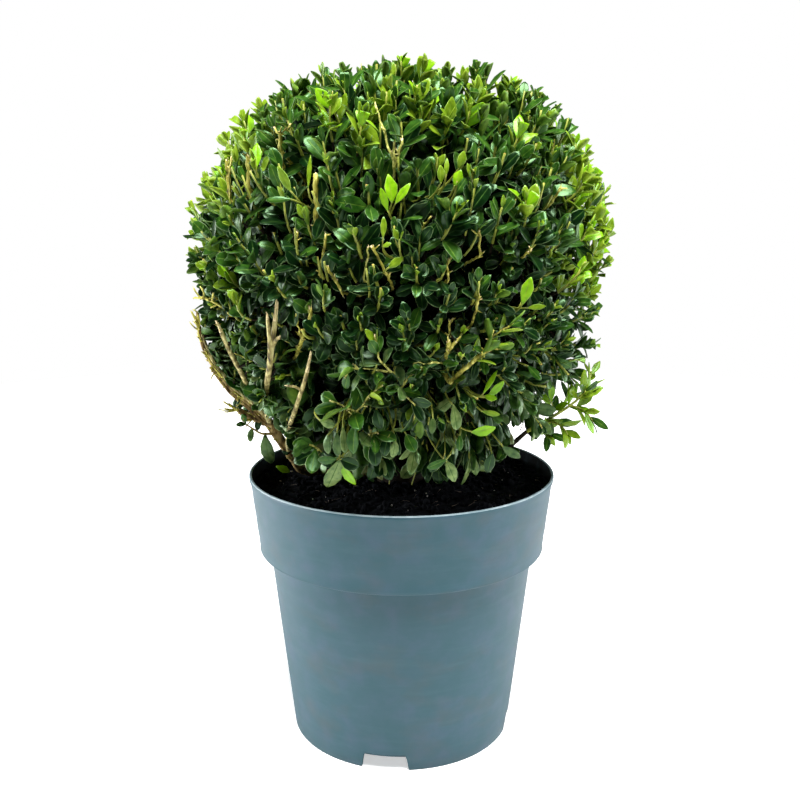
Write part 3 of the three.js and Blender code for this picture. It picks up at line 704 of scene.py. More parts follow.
def bough_corners(mass):
    """The corners of the bough that carries a mass: from the trunk's head over a knee into the crown."""
    foot = FORK - (TOP_FOOT_DROP if mass.startswith("top") else FOOT_DROP) * UP
    tip = place_at(unit(np.array(MASS_SEEDS[mass], dtype=float)), BOUGH_TIP_SHARE)
    out = tip - foot
    knee = foot + np.array([KNEE_OUT * out[0], KNEE_OUT * out[1], KNEE_UP * out[2] + KNEE_LIFT])
    return [foot, knee, tip]


OUTER_LINE = np.array(
    [(-97, -25.5, 245), (-109, -29, 259), (-121, -31, 270)]
    + [(-134, -33, 288), (-142, -33, 308), (-144, -31, 325)]
)
LIMBS = {
    "trunk": ([(0, 0, 188), (0.5, 0, 215), FORK], 13.0, 11.5),
    "low_left_bough": (
        [(0, 0, 199), (-45, 4, 196), (-72, -2, 201), (-80, -9, 212), (-88, -18, 228), LOW_FORK], 3.2, 3.5
    ),
    "low_right_bough": ([(0, 0, 205), (45, -12, 208), (72, -30, 223), (89, -42, 241)], 2.8, 1.4),
    "left_outer_bough": (OUTER_LINE, 3.1, 1.0),
    "left_cut_stub_a": (
        [LOW_FORK, (-93, -58, 261), (-89, -90, 279), (-83, -108, 305), (-77, -115, 342)], 2.2, 1.5
    ),
    "left_cut_stub_b": ([(-108, -29, 261), (-109, -52, 281), (-115, -72, 304), (-122, -76, 324)], 1.7, 1.2),
    "left_cut_stub_c": (
        [(-84, -13, 219), (-79, -56, 243), (-71, -96, 265), (-61, -117, 292), (-56, -124, 311)], 1.8, 1.1
    ),
}
for mass_name in CLIPPED_MASSES:
    thickness = TOP_THICKNESS if mass_name.startswith("top") else SIDE_THICKNESS
    LIMBS["bough_" + mass_name] = (bough_corners(mass_name), *thickness)
SIDE_LIMBS = {
    "second_stub": ([LOW_FORK, (-102, -27, 246), (-110, -29, 250), (-119, -31, 255)], 3.0, 1.7),
    "upper_strand": (OUTER_LINE[:5] + np.array([1.5, -1.8, 1.7]), 2.1, 0.8),
    "lower_strand": (OUTER_LINE[:4] + np.array([-1.9, -0.8, -1.8]), 2.3, 0.9),
    "stub_a_prong": ([(-85, -103, 295), (-83, -111, 314), (-83, -119, 335)], 1.6, 0.9),
    "stub_a_knob": ([(-81, -110, 314), (-78.5, -114, 318), (-76, -117, 320)], 1.4, 1.0),
    "stub_c_prong": ([(-63, -113, 285), (-67, -115, 288), (-73, -115, 289)], 1.0, 0.6),
}
ALL_LIMBS = {**LIMBS, **SIDE_LIMBS}
# These limbs lie inside the crown and take the bark with painted shade.
SHADED = ["trunk", "low_right_bough"] + ["bough_" + mass_name for mass_name in CLIPPED_MASSES]
SMOOTH_BARK = 0.09
RAGGED_BARK = {
    "left_outer_bough": 0.2,
    "second_stub": 0.24,
    "low_left_bough": 0.2,
    "upper_strand": 0.22,
    "lower_strand": 0.26,
}
LIMB_PLACES = 60
LIMB_STATIONS = 70
LIMB_SIDES = 18
KNOT_STEP = 13.0
KNOT_SWELL = 0.10
KNOT_SHARPNESS = 6
ROOT_FLARE = 7.0
FLARE_FROM = 0.12
FLARE_RUN = 0.29
CUT_TAPER = 0.35
CUT_TAPER_FROM = 0.88
BARED_FROM = 0.92
BARED_SHARE = 0.7
LIMB_TEAR = (-0.5, 0.9)
SLANT_TURNS = (0, 6.3)


def limb_path(name):
    """Places along a limb, evenly spaced."""
    return smooth_path(ALL_LIMBS[name][0], LIMB_PLACES)


def build_limbs():
    """Trunk, boughs and stubs as ridged tubes, with swollen joints; stubs end in a torn pale cut."""
    plain_bark, cut_wood, stub_bark, shaded_bark = range(4)
    share = np.linspace(0.0, 1.0, LIMB_STATIONS)
    turn = np.arange(LIMB_SIDES) / LIMB_SIDES * FULL_TURN
    parts = []
    for name, (corners, thick_foot, thick_tip) in ALL_LIMBS.items():
        path = smooth_path(corners, LIMB_STATIONS)[None]
        cut = "stub" in name
        run = np.linalg.norm(np.diff(path[0], axis=0), axis=1).sum()
        knots = np.maximum(np.sin(share * run / KNOT_STEP * np.pi + len(name)), 0.0) ** KNOT_SHARPNESS
        radius = (thick_foot + (thick_tip - thick_foot) * share) * (1.0 + KNOT_SWELL * knots)
        if name == "trunk":
            radius = radius + ROOT_FLARE * np.clip(1.0 - (share - FLARE_FROM) / FLARE_RUN, 0.0, 1.0) ** 2
        radius = radius * (1.0 - CUT_TAPER * cut * smooth_step(share, CUT_TAPER_FROM, 1.0))
        relief = bark_relief(1, LIMB_STATIONS, LIMB_SIDES, RAGGED_BARK.get(name, SMOOTH_BARK))
        slant = np.sin(turn + RANDOM.uniform(*SLANT_TURNS))
        torn = (thick_tip * slant + RANDOM.uniform(*LIMB_TEAR, size=LIMB_SIDES))[None] if cut else None
        points, quads, ends, far = tubes(path, radius[None], LIMB_SIDES, relief, torn)
        bared = np.repeat(share[1:] > BARED_FROM, LIMB_SIDES) & cut
        bared = bared & (RANDOM.uniform(size=len(quads)) < BARED_SHARE)
        bark = shaded_bark if name in SHADED else plain_bark
        if name == "upper_strand" or (cut and name != "second_stub"):
            bark = stub_bark
        marks = [np.where(bare, cut_wood, bark) for bare in (bared, far & cut)]
        parts.append([points, quads, ends, *marks])
    points, faces, marks = joined(parts)
    skins = [BARK, CUT_WOOD, OLD_STUB_BARK, PAINTED_SHADE_BARK]
    make_piece("limbs", points, faces, skins, list(LIMBS), face_materials=marks)


# Branches and shoots of the crown: dents and swells are a way, its outer and inner cosine, and a depth

BRANCHES = 130
BRANCHES_LOWEST = -0.9
BRANCH_STARTS = (0.36, 0.56)
BRANCH_ENDS = (0.62, 0.74)
BRANCH_BEND = 0.62
STEM_PULL = 0.6
BRANCH_STATIONS = 9
BRANCH_SIDES = 7
BRANCH_RADII = (2.2, 1.2)
BRANCH_RIDGES = 0.07
BRANCH_ROOM = -12.0
MASS_SHARE = 0.84
SHOOTS_LOWEST = -0.93
SHOOT_SCATTER = 0.045
SHOOT_STATIONS = 8
SHOOT_BEND = 0.55
SHOOT_SIDES = 5
SHOOT_RADII = (1.15, 0.62)
HEADING_SPREAD = 0.3
LEAST_LIFT = 0.2
MORE_LIFT = 1.8
LIFT_HEIGHTS = (-0.55, 0.0)
STATION_CHOICE = 4
OTHER_MASS_COST = 80.0
HOLLOW = np.array([-0.66, -0.58, -0.48])
DARK_HOLLOW = np.array([-0.33, -0.84, -0.43])
DENTS = [
    (HOLLOW, cosine(42), cosine(20), 0.06),
    (np.array([0.2, -0.1, 0.97]), cosine(13), cosine(6), 0.08),
    (np.array([-0.5, 0.0, 0.85]), 0.85, 0.97, 0.03),
    (DARK_HOLLOW, cosine(15), cosine(8), 0.12),
]
RIGHT_SHOULDER = (np.array([0.8, 0.0, 0.6]), 0.75, 0.95)
SHOULDER_SWELL = 0.03
SKIRT_SWELL = 0.03
SKIRT_DEPTHS = (0.4, 0.8)
OPEN_SIDE = (np.array([0.84, -0.12, -0.53]), cosine(34), cosine(18))
OPEN_SIDE_LOSS = 0.6
SKIRT_LOSS = 0.2
SPARSE_DEPTHS = (0.5, 0.7)
LOW_RIGHT_DENT = 0.1
LOWEST_TIP = SOIL + 9.0
LOWEST_TIP_RISE = 12.0
RISE_ACROSS = (-30.0, 40.0)
LOW_LEFT_OUT = np.array([-0.872, 0.0, -0.49])
LOW_LEFT_REACH = -31.0
LOW_LEFT_MARGIN = 14.0
LOW_LEFT_LIMIT = 32.0


def past_low_left(points):
    """How far points lie past the slanting lower left side of the crown, by the bare outer bough."""
    return points @ LOW_LEFT_OUT - LOW_LEFT_REACH


def nearest_branch(branches, places, cost=0.0):
    """The number of the branch whose end lies nearest to each place, some at a cost."""
    return np.argmin(np.linalg.norm(places[:, None] - branches[None, :, -1], axis=-1) + cost, axis=1)


def arriving(starts, tips, headings):
    """Shoots from starts to tips, each bent so that it arrives along its heading."""
    length = np.linalg.norm(tips - starts, axis=1)
    return bent_paths(starts, tips - headings * (SHOOT_BEND * length)[:, None], tips, SHOOT_STATIONS)


def grow_branches():
    """Branches from each mass's stem out towards golden-angle places: bent curves, and the mass of each."""
    directions = golden_directions(BRANCHES, BRANCHES_LOWEST, 0.0)
    ends = place_at(directions, RANDOM.uniform(*BRANCH_ENDS, BRANCHES))
    mass = mass_of(place_at(directions, MASS_SHARE))
    seeds = unit(SEEDS)[mass]
    starts = place_at(seeds, RANDOM.uniform(*BRANCH_STARTS, BRANCHES))
    bends = place_at(unit(STEM_PULL * seeds + (1.0 - STEM_PULL) * directions), BRANCH_BEND)
    keep = (mass != LOW_RIGHT) & (past_low_left(ends) < BRANCH_ROOM)
    return bent_paths(starts, bends, ends, BRANCH_STATIONS)[keep], mass[keep]


def grow_shoots(count, tip_shares, first_turn, first_station, branches, branch_mass):
    """Shoots from the nearest branch's outer stations to golden-angle places, tips turned outward and up.

    tip_shares is the lowest and highest share at which tips end, before the crown's dents and swells.
    Shoots are sparse on the open side and low down. Returns paths, masses, heights and branch numbers.
    """
    directions = scattered(golden_directions(count, SHOOTS_LOWEST, first_turn), SHOOT_SCATTER)
    inward = sum(depth * near_way(directions, *way) for *way, depth in DENTS)
    low = SKIRT_SWELL * smooth_step(-directions[:, 2], *SKIRT_DEPTHS)
    shoulder = SHOULDER_SWELL * near_way(directions, *RIGHT_SHOULDER)
    mass = mass_of(place_at(directions, MASS_SHARE))
    open_dent = LOW_RIGHT_DENT * (mass == LOW_RIGHT)
    tips = place_at(directions, RANDOM.uniform(*tip_shares, count) - inward + low + shoulder - open_dent)
    past = past_low_left(tips) + LOW_LEFT_MARGIN
    loss = OPEN_SIDE_LOSS * near_way(directions, *OPEN_SIDE)
    loss = np.maximum(loss, SKIRT_LOSS * smooth_step(-directions[:, 2], *SPARSE_DEPTHS))
    lowest = LOWEST_TIP + LOWEST_TIP_RISE * smooth_step(tips[:, 0], *RISE_ACROSS)
    keep = (past < LOW_LEFT_LIMIT) & (RANDOM.uniform(size=count) > loss) & (tips[:, 2] > lowest)
    tips = tips - LOW_LEFT_OUT * np.maximum(past, 0.0)[:, None]
    directions, tips, mass = directions[keep], tips[keep], mass[keep]
    height = directions[:, 2]
    lift = LEAST_LIFT + MORE_LIFT * smooth_step(height, *LIFT_HEIGHTS)
    headings = scattered(directions + UP * lift[:, None], HEADING_SPREAD)
    strange = (branch_mass[None] != mass[:, None]) & (mass[:, None] != LOW_RIGHT)
    parent = nearest_branch(branches, tips, OTHER_MASS_COST * strange)
    station = RANDOM.integers(first_station, first_station + STATION_CHOICE, len(parent))
    return arriving(branches[parent, station], tips, headings), mass, height, parent


INWARD_CARRIERS = {
    "left_outer_bough": 70,
    "left_cut_stub_a": 14,
    "left_cut_stub_b": 18,
    "left_cut_stub_c": 8,
    "low_right_bough": 26,
}
FORWARD_CARRIERS = {"left_cut_stub_a": 12, "left_cut_stub_c": 12}
INWARD_PLACES = (5, 50)
INWARD_LENGTHS = (10.0, 24.0)
INWARD_LIFT = 0.7
INWARD_SPREAD = 0.5
INWARD_SAG = 3.0
INWARD_ROOM = -4.0
FORWARD = np.array([0.1, -0.7, 0.5])
FORWARD_PLACES = (8, 30)
FORWARD_LENGTHS = (7.0, 13.0)
FORWARD_SPREAD = 0.35


def limb_feet(carriers, first, last):
    """Places by chance on each limb, between a first and a last one."""
    feet = [limb_path(name)[RANDOM.integers(first, last, count)] for name, count in carriers.items()]
    return np.concatenate(feet)


def grow_limb_shoots():
    """Small leafy shoots on the bare limbs: many turned inward and up, some forward on the cut stubs."""
    feet = limb_feet(INWARD_CARRIERS, *INWARD_PLACES)
    headings = scattered(-outward_at(feet) + UP * INWARD_LIFT, INWARD_SPREAD)
    ends = feet + headings * RANDOM.uniform(*INWARD_LENGTHS, len(feet))[:, None]
    bends = feet + 0.5 * (ends - feet) - UP * INWARD_SAG
    inward = bent_paths(feet, bends, ends, SHOOT_STATIONS)[past_low_left(ends) < INWARD_ROOM]
    feet = limb_feet(FORWARD_CARRIERS, *FORWARD_PLACES)
    headings = scattered(np.broadcast_to(FORWARD, feet.shape), FORWARD_SPREAD)
    forward = short_paths(feet, headings, RANDOM.uniform(*FORWARD_LENGTHS, len(feet)), SHOOT_STATIONS)
    return np.concatenate([inward, forward])


# What the photograph shows: columns and rows in pixels, then the share of the crown where a corner lies

BARE_LIMBS = {
    "left_outer_bough": (0.0, 2.2),
    "second_stub": (0.0, 3.0),
    "low_left_bough": (0.55, 4.0),
    "left_cut_stub_a": (0.55, 3.0),
    "left_cut_stub_b": (0.35, 2.0),
    "left_cut_stub_c": (0.6, 2.0),
}
CUT_SHOOTS = {
    "high_left_stub": ([(230, 201, 0.86), (227, 161, 0.93)], 1.6, 1.3, "tan"),
    "high_left_twin": ([(230, 201, 0.86), (230, 175, 0.91), (231, 161, 0.95)], 1.3, 1.0, "tan"),
    "left_stub": ([(249, 198, 0.86), (248, 156, 0.94)], 1.6, 1.3, "tan"),
    "upper_left_fork": ([(282, 166, 0.86), (280, 132, 0.95)], 1.6, 1.2, "tan"),
    "upper_left_prong_a": ([(281, 150, 0.90), (280, 136, 0.94), (275, 128, 0.97)], 1.2, 0.8, "tan"),
    "upper_left_prong_b": ([(281, 150, 0.90), (280, 136, 0.94), (291, 124, 0.96)], 1.2, 0.8, "tan"),
    "thick_stub": ([(316, 228, 0.86), (316, 176, 0.95)], 2.0, 1.6, "tan"),
    "below_thick_stub": ([(319, 276, 0.86), (326, 236, 0.95)], 1.4, 1.1, "tan"),
    "arch_right_leg": ([(392, 285, 0.86), (372, 246, 0.95)], 1.2, 1.0, "tan"),
    "arch_left_leg": ([(362, 289, 0.86), (369, 247, 0.95)], 1.1, 0.8, "sallow"),
    "left_of_arch": ([(343, 293, 0.88), (328, 268, 0.95)], 1.3, 1.0, "tan"),
    "upper_fork_long": ([(394, 180, 0.84), (395, 168, 0.90), (376, 106, 0.95)], 1.3, 0.9, "sallow"),
    "upper_fork_middle": ([(394, 180, 0.84), (395, 168, 0.90), (394, 142, 0.96)], 1.4, 1.0, "sallow"),
    "upper_fork_right": ([(394, 180, 0.84), (395, 168, 0.90), (403, 140, 0.96)], 1.4, 1.0, "sallow"),
    "middle_stub_a": ([(447, 282, 0.88), (448, 260, 0.96)], 1.1, 0.8, "tan"),
    "middle_stub_b": ([(480, 256, 0.88), (479, 230, 0.96)], 1.2, 0.9, "tan"),
    "middle_stub_c": ([(422, 229, 0.88), (431, 217, 0.95)], 1.1, 0.8, "tan"),
    "middle_stub_d": ([(297, 256, 0.88), (297, 232, 0.96)], 1.1, 0.8, "tan"),
    "right_stub_a": ([(549, 206, 0.88), (560, 189, 0.96)], 1.4, 1.0, "tan"),
    "right_stub_b": ([(522, 257, 0.90), (532, 250, 0.98)], 1.2, 0.9, "tan"),
    "right_stub_c": ([(470, 329, 0.88), (480, 297, 0.97)], 1.3, 1.0, "tan"),
    "torn_twig": (
        [(450, 383, 0.86), (463, 370, 0.92), (474, 360, 0.94), (486, 351, 0.95), (495, 344, 0.97)],
        1.8, 1.3, "tan",
    ),
    "torn_twig_up": (
        [(480, 355, 0.945), (486, 351, 0.95), (489, 339, 0.96), (493, 332, 0.97)], 1.0, 0.7, "tan"
    ),
    "torn_twig_far": (
        [(486, 351, 0.95), (489, 339, 0.96), (495, 334, 0.96), (509, 326, 0.97), (516, 320, 0.98)],
        1.0, 0.7, "tan",
    ),
    "torn_twig_low": (
        [(480, 355, 0.945), (486, 351, 0.95), (496, 349, 0.96), (506, 347, 0.97)], 1.0, 0.7, "tan"
    ),
    "short_fork": ([(443, 363, 0.86), (448, 352, 0.92), (449, 342, 0.97)], 1.9, 1.3, "tan"),
    "short_fork_prong": ([(445, 358, 0.885), (448, 352, 0.92), (456, 341, 0.97)], 1.5, 1.0, "tan"),
    "level_twig": (
        [(443, 363, 0.86), (441, 363, 0.93), (428, 363, 0.94), (414, 363, 0.93)], 0.8, 0.6, "sallow"
    ),
    "above_fork_stub": ([(450, 337, 0.86), (449, 320, 0.94)], 1.3, 0.9, "tan"),
    "slanting_twig": (
        [(405, 383, 0.90), (390, 371, 0.95), (379, 360, 0.96), (375, 337, 0.97)], 1.1, 0.8, "sallow"
    ),
    "star_prong": ([(398, 391, 0.90), (402, 387, 0.95), (409, 377, 0.97)], 1.1, 0.8, "sallow"),
    "hooked_twig": (
        [(398, 391, 0.90), (408, 398, 0.95), (414, 402, 0.96), (415, 415, 0.96), (413, 421, 0.95)],
        0.9, 0.6, "sallow",
    ),
    "left_curl": (
        [(395, 373, 0.90), (385, 371, 0.94), (362, 368, 0.96), (350, 369, 0.97), (345, 378, 0.97)],
        1.0, 0.7, "sallow",
    ),
    "vee_right": (
        [(350, 418, 0.90), (356, 412, 0.95), (362, 406, 0.955), (368, 396, 0.96), (382, 386, 0.975)],
        1.0, 0.7, "sallow",
    ),
    "vee_left": (
        [(350, 418, 0.90), (356, 412, 0.95), (345, 407, 0.96), (331, 401, 0.97)], 1.0, 0.7, "sallow"
    ),
    "low_middle_stub": ([(361, 439, 0.92), (370, 435, 0.96), (378, 432, 0.98)], 0.9, 0.7, "sallow"),
    "skirt_twig": ([(338, 461, 0.93), (318, 449, 0.97), (303, 442, 0.99)], 1.0, 0.8, "sallow"),
    "old_fork": ([(293, 362, 0.78), (302, 340, 0.84), (309, 320, 0.88), (311, 308, 0.90)], 1.7, 1.1, "tan"),
    "old_fork_prong": (
        [(299, 347, 0.82), (302, 338, 0.84), (298, 325, 0.88), (296, 315, 0.90)], 1.1, 0.8, "tan"
    ),
    "far_left_twig": (
        [(232, 316, 0.86), (222, 307, 0.92), (212, 301, 0.95), (204, 298, 0.97), (195, 297, 1.0)],
        1.4, 1.0, "tan",
    ),
    "far_left_prong_a": ([(217, 304, 0.935), (212, 301, 0.95), (213, 293, 0.97)], 1.1, 0.8, "tan"),
    "far_left_prong_b": ([(209, 300, 0.96), (204, 298, 0.97), (203, 290, 0.98)], 1.1, 0.8, "tan"),
    "far_left_prong_c": ([(204, 298, 0.97), (199, 297, 0.985), (194, 288, 1.0)], 1.1, 0.8, "tan"),
}
FLUSH_PLACES = {
    "above_left": (362, 118),
    "above_right": (470, 110),
    "right_shoulder": (520, 130),
    "left_shoulder": (255, 160),
    "upper_left": (330, 105),
    "right": (525, 200),
    "above_middle": (415, 95),
    "far_left": (236, 300),
}
PLACED_LEAVES = {
    "middle_large": ((392, 203), (389, 174), 14, "lime"),
    "middle_left": ((388, 212), (381, 188), 8, "lime"),
    "middle_right": ((395, 204), (410, 183), 8, "lime"),
    "middle_low": ((383, 239), (384, 217), 7, "fresh"),
    "middle_lowest": ((382, 247), (391, 243), 6, "fresh"),
    "vee_left": ((441, 184), (440, 165), 11, "fresh"),
    "vee_top": ((446, 176), (447, 158), 6, "fresh"),
    "vee_right": ((454, 187), (461, 170), 12, "lime"),
    "vee_upper": ((458, 170), (464, 151), 10, "fresh"),
    "left_upright": ((291, 192), (279, 166), 10, "fresh"),
    "left_level": ((292, 199), (266, 200), 8, "mid"),
    "by_thick_stub": ((308, 190), (310, 155), 6, "fresh"),
    "right_large": ((522, 305), (531, 277), 15, "lime"),
    "right_level": ((527, 308), (546, 306), 7, "fresh"),
    "low_right_high": ((483, 394), (497, 371), 6, "lime"),
    "low_right_mid": ((487, 398), (504, 381), 8, "lime"),
    "low_right_level": ((484, 396), (497, 399), 7, "lime"),
    "low_right_fresh": ((481, 411), (500, 415), 6, "fresh"),
    "skirt_level": ((471, 432), (496, 430), 12, "lime"),
    "far_right_low": ((527, 365), (541, 380), 8, "mid"),
    "skirt_left": ((341, 463), (354, 486), 10, "lime"),
    "middle_pale": ((388, 268), (403, 257), 9, "fresh"),
    "hanging_a": ((328, 434), (326, 454), 8, "dusty"),
    "hanging_b": ((337, 431), (337, 457), 7, "dusty"),
    "hanging_c": ((343, 426), (345, 453), 7, "pale"),
    "hanging_d": ((355, 424), (352, 454), 11, "mid"),
    "hanging_e": ((340, 459), (328, 489), 10, "pale"),
    "hanging_f": ((340, 459), (358, 467), 12, "dark"),
    "hanging_g": ((338, 459), (318, 462), 9, "mid"),
    "hanging_h": ((374, 441), (376, 466), 12, "dark"),
    "hanging_i": ((388, 437), (383, 456), 10, "dark"),
    "hanging_j": ((395, 439), (394, 458), 9, "pale"),
    "hanging_k": ((406, 434), (415, 452), 12, "mid"),
    "hanging_l": ((447, 459), (428, 469), 10, "mid"),
    "hanging_m": ((446, 461), (457, 482), 11, "pale"),
    "hanging_n": ((460, 434), (459, 451), 8, "mid"),
    "hanging_o": ((433, 417), (432, 434), 9, "dusty"),
    "hanging_p": ((453, 404), (458, 430), 13, "pale"),
    "hanging_q": ((376, 408), (380, 429), 10, "dark"),
    "hanging_r": ((319, 420), (334, 426), 8, "pale"),
    "hanging_s": ((492, 452), (488, 474), 10, "dark"),
    "hanging_t": ((502, 446), (520, 458), 10, "dusty"),
}
SHOOT_ROOM = 1.9
LEAF_ROOM = 4.5
SHOOT_CHECKS = 24
LEAF_CHECKS = 12
FOOT_SHARE = 0.95
TIP_SHARE = 0.985
SKIRT_REACH = 0.08
SKIRT_ROWS = (395.0, 465.0)
DEPTH_OF_TIP = 0.3
FLUSH_SHARE = 0.97
FLUSH_WAY = np.array([0.0, -0.3, 1.0])
FLUSH_SPREAD = 0.15


def shoot_path(name, count):
    """Places along a cut shoot as the photograph shows it, evenly spaced."""
    return kinked_path([sighted(*corner) for corner in CUT_SHOOTS[name][0]], count)


def placed_leaf_ends():
    """Foot and tip of each young or hanging leaf that the photograph shows, on the crown's outline.

    Each tip is moved along its line of sight to a depth nearer to the foot's.
    """
    feet, tips = [], []
    for foot, tip, *_ in PLACED_LEAVES.values():
        out = SKIRT_REACH * smooth_step(foot[1], *SKIRT_ROWS)
        feet.append(sighted(*foot, FOOT_SHARE + out))
        tips.append(sighted(*tip, TIP_SHARE + out))
    feet = np.array(feet)
    tips = np.array(tips)
    depths = [np.linalg.norm(ends - CAMERA_PLACE, axis=1, keepdims=True) for ends in (feet, tips)]
    depth = (1.0 - DEPTH_OF_TIP) * depths[0] + DEPTH_OF_TIP * depths[1]
    return feet, CAMERA_PLACE + unit(tips - CAMERA_PLACE) * depth


def kept_in_sight():
    """What the photograph shows with nothing before it: places along each thing, and its room."""
    shown = [(limb_path(name)[int(LIMB_PLACES * bare) :], room) for name, (bare, room) in BARE_LIMBS.items()]
    shown += [(shoot_path(name, SHOOT_CHECKS), SHOOT_ROOM) for name in CUT_SHOOTS]
    return shown + [(kinked_path(ends, LEAF_CHECKS), LEAF_ROOM) for ends in zip(*placed_leaf_ends())]


def stands_before(points, shown):
    """Whether a point stands before what is shown: near the camera's line of sight to it, and closer."""
    away = points - CAMERA_PLACE
    far = np.linalg.norm(away, axis=1)
    hidden = np.zeros(len(points), bool)
    for places, room in shown:
        sight = places - CAMERA_PLACE
        reach = np.linalg.norm(sight, axis=1)
        along = away @ (sight / reach[:, None]).T
        aside = far[:, None] ** 2 - along**2
        hidden |= ((aside < room**2) & (along < reach + room)).any(axis=1)
    return hidden


def grow_flush(branches):
    """Upright young shoots where the photograph shows bright leaves, from the nearest branch."""
    tips = np.array([sighted(*place, FLUSH_SHARE) for place in FLUSH_PLACES.values()])
    parent = nearest_branch(branches, tips)
    headings = scattered(np.broadcast_to(FLUSH_WAY, tips.shape), FLUSH_SPREAD)
    paths = arriving(branches[parent, -1], tips, headings)
    return paths, mass_of(tips), outward_at(tips)[:, 2], parent


# Cut shoots and their spurs

CUT_STATIONS = 26
CUT_SIDES = 8
CUT_RIDGES = 0.12
NUBS = 4
WHISKERS = 60
STOUT = 1.5
STOUT_SCALE = 0.98
SLIM_SCALE = 0.74
SPUR_STEP = 5
STRIP_WIDTH = 0.9
FRINGE_WIDTH = 0.6
NUB_WIDTH = 0.65
WHISKER_WIDTH = 0.5
SPUR_WIDTHS = (0.55, 1.0)
SPUR_FOOT = 1.2
SPUR_TIP = 0.7
CUT_TEAR = (-1.0, 2.2)
CUT_WAVER = 0.3
STRIP_LENGTHS = (3.0, 1.6)
STRIP_LENGTH = 1.1
FRINGE_LENGTH = 0.7
STRIP_SPREAD = 0.3
FRINGE_SPREAD = 0.45
STRIP_SWAY = 0.8
NUB_LEAST = 1.4
NUB_LENGTHS = (2.0, 0.7)
NUB_SLANT = 0.7
NUB_SPREAD = 0.6
WHISKER_LENGTHS = (4.0, 9.0)
WHISKER_SPREAD = 0.25
DEEP_SHARE = 0.2
DEEP_DROP = 4.0
FRINGE_WAY = np.array([-0.6, -0.4, -0.5])
STRIP_LEAN = np.array([-0.25, -0.4, 0.1])
BARK_STRIPS = [("left_outer_bough", 6, 60, 70), ("second_stub", 12, 60, 22), ("low_left_bough", 38, 60, 20)]
BARK_FRINGE = [("left_outer_bough", 8, 36, 40), ("second_stub", 20, 60, 26)]


def grow_bark_strips():
    """Loose strips of bark aslant along the bare boughs, and a short fringe below: paths and widths."""
    feet, along = [], []
    for name, first, last, count in BARK_STRIPS + BARK_FRINGE:
        path = limb_path(name)
        station = RANDOM.integers(first, last, count)
        feet.append(path[station])
        along.append(slopes(path[None])[0, station])
    feet = np.concatenate(feet)
    below = np.repeat([False, True], [sum(row[3] for row in rows) for rows in (BARK_STRIPS, BARK_FRINGE)])
    way = np.where(below[:, None], FRINGE_WAY, np.concatenate(along) + STRIP_LEAN)
    headings = scattered(way, np.where(below, FRINGE_SPREAD, STRIP_SPREAD)[:, None])
    lengths = RANDOM.gamma(*STRIP_LENGTHS, len(feet)) * np.where(below, FRINGE_LENGTH, STRIP_LENGTH)
    sway = RANDOM.normal(size=feet.shape) * STRIP_SWAY
    widths = np.where(below, FRINGE_WIDTH, STRIP_WIDTH)
    return short_paths(feet, headings, lengths, CUT_STATIONS, sway), widths


def grow_nubs(paths):
    """Leaf scars and broken side twigs on the outer half of each cut shoot: short spurs aslant on it."""
    shoot = np.repeat(np.arange(len(paths)), NUBS)
    station = RANDOM.integers(CUT_STATIONS // 2, CUT_STATIONS, len(shoot))
    headings = scattered(slopes(paths)[shoot, station] * NUB_SLANT, NUB_SPREAD)
    lengths = NUB_LEAST + RANDOM.gamma(*NUB_LENGTHS, len(shoot))
    return short_paths(paths[shoot, station], headings, lengths, CUT_STATIONS)


def grow_whiskers(shoots):
    """Thin bare ends that the shears left standing out of the crown, each on from the tip of a shoot."""
    chosen = RANDOM.choice(len(shoots), WHISKERS, replace=False)
    headings = scattered(slopes(shoots)[chosen, -1], WHISKER_SPREAD)
    lengths = RANDOM.uniform(*WHISKER_LENGTHS, WHISKERS)
    return short_paths(shoots[chosen, -1], headings, lengths, CUT_STATIONS)


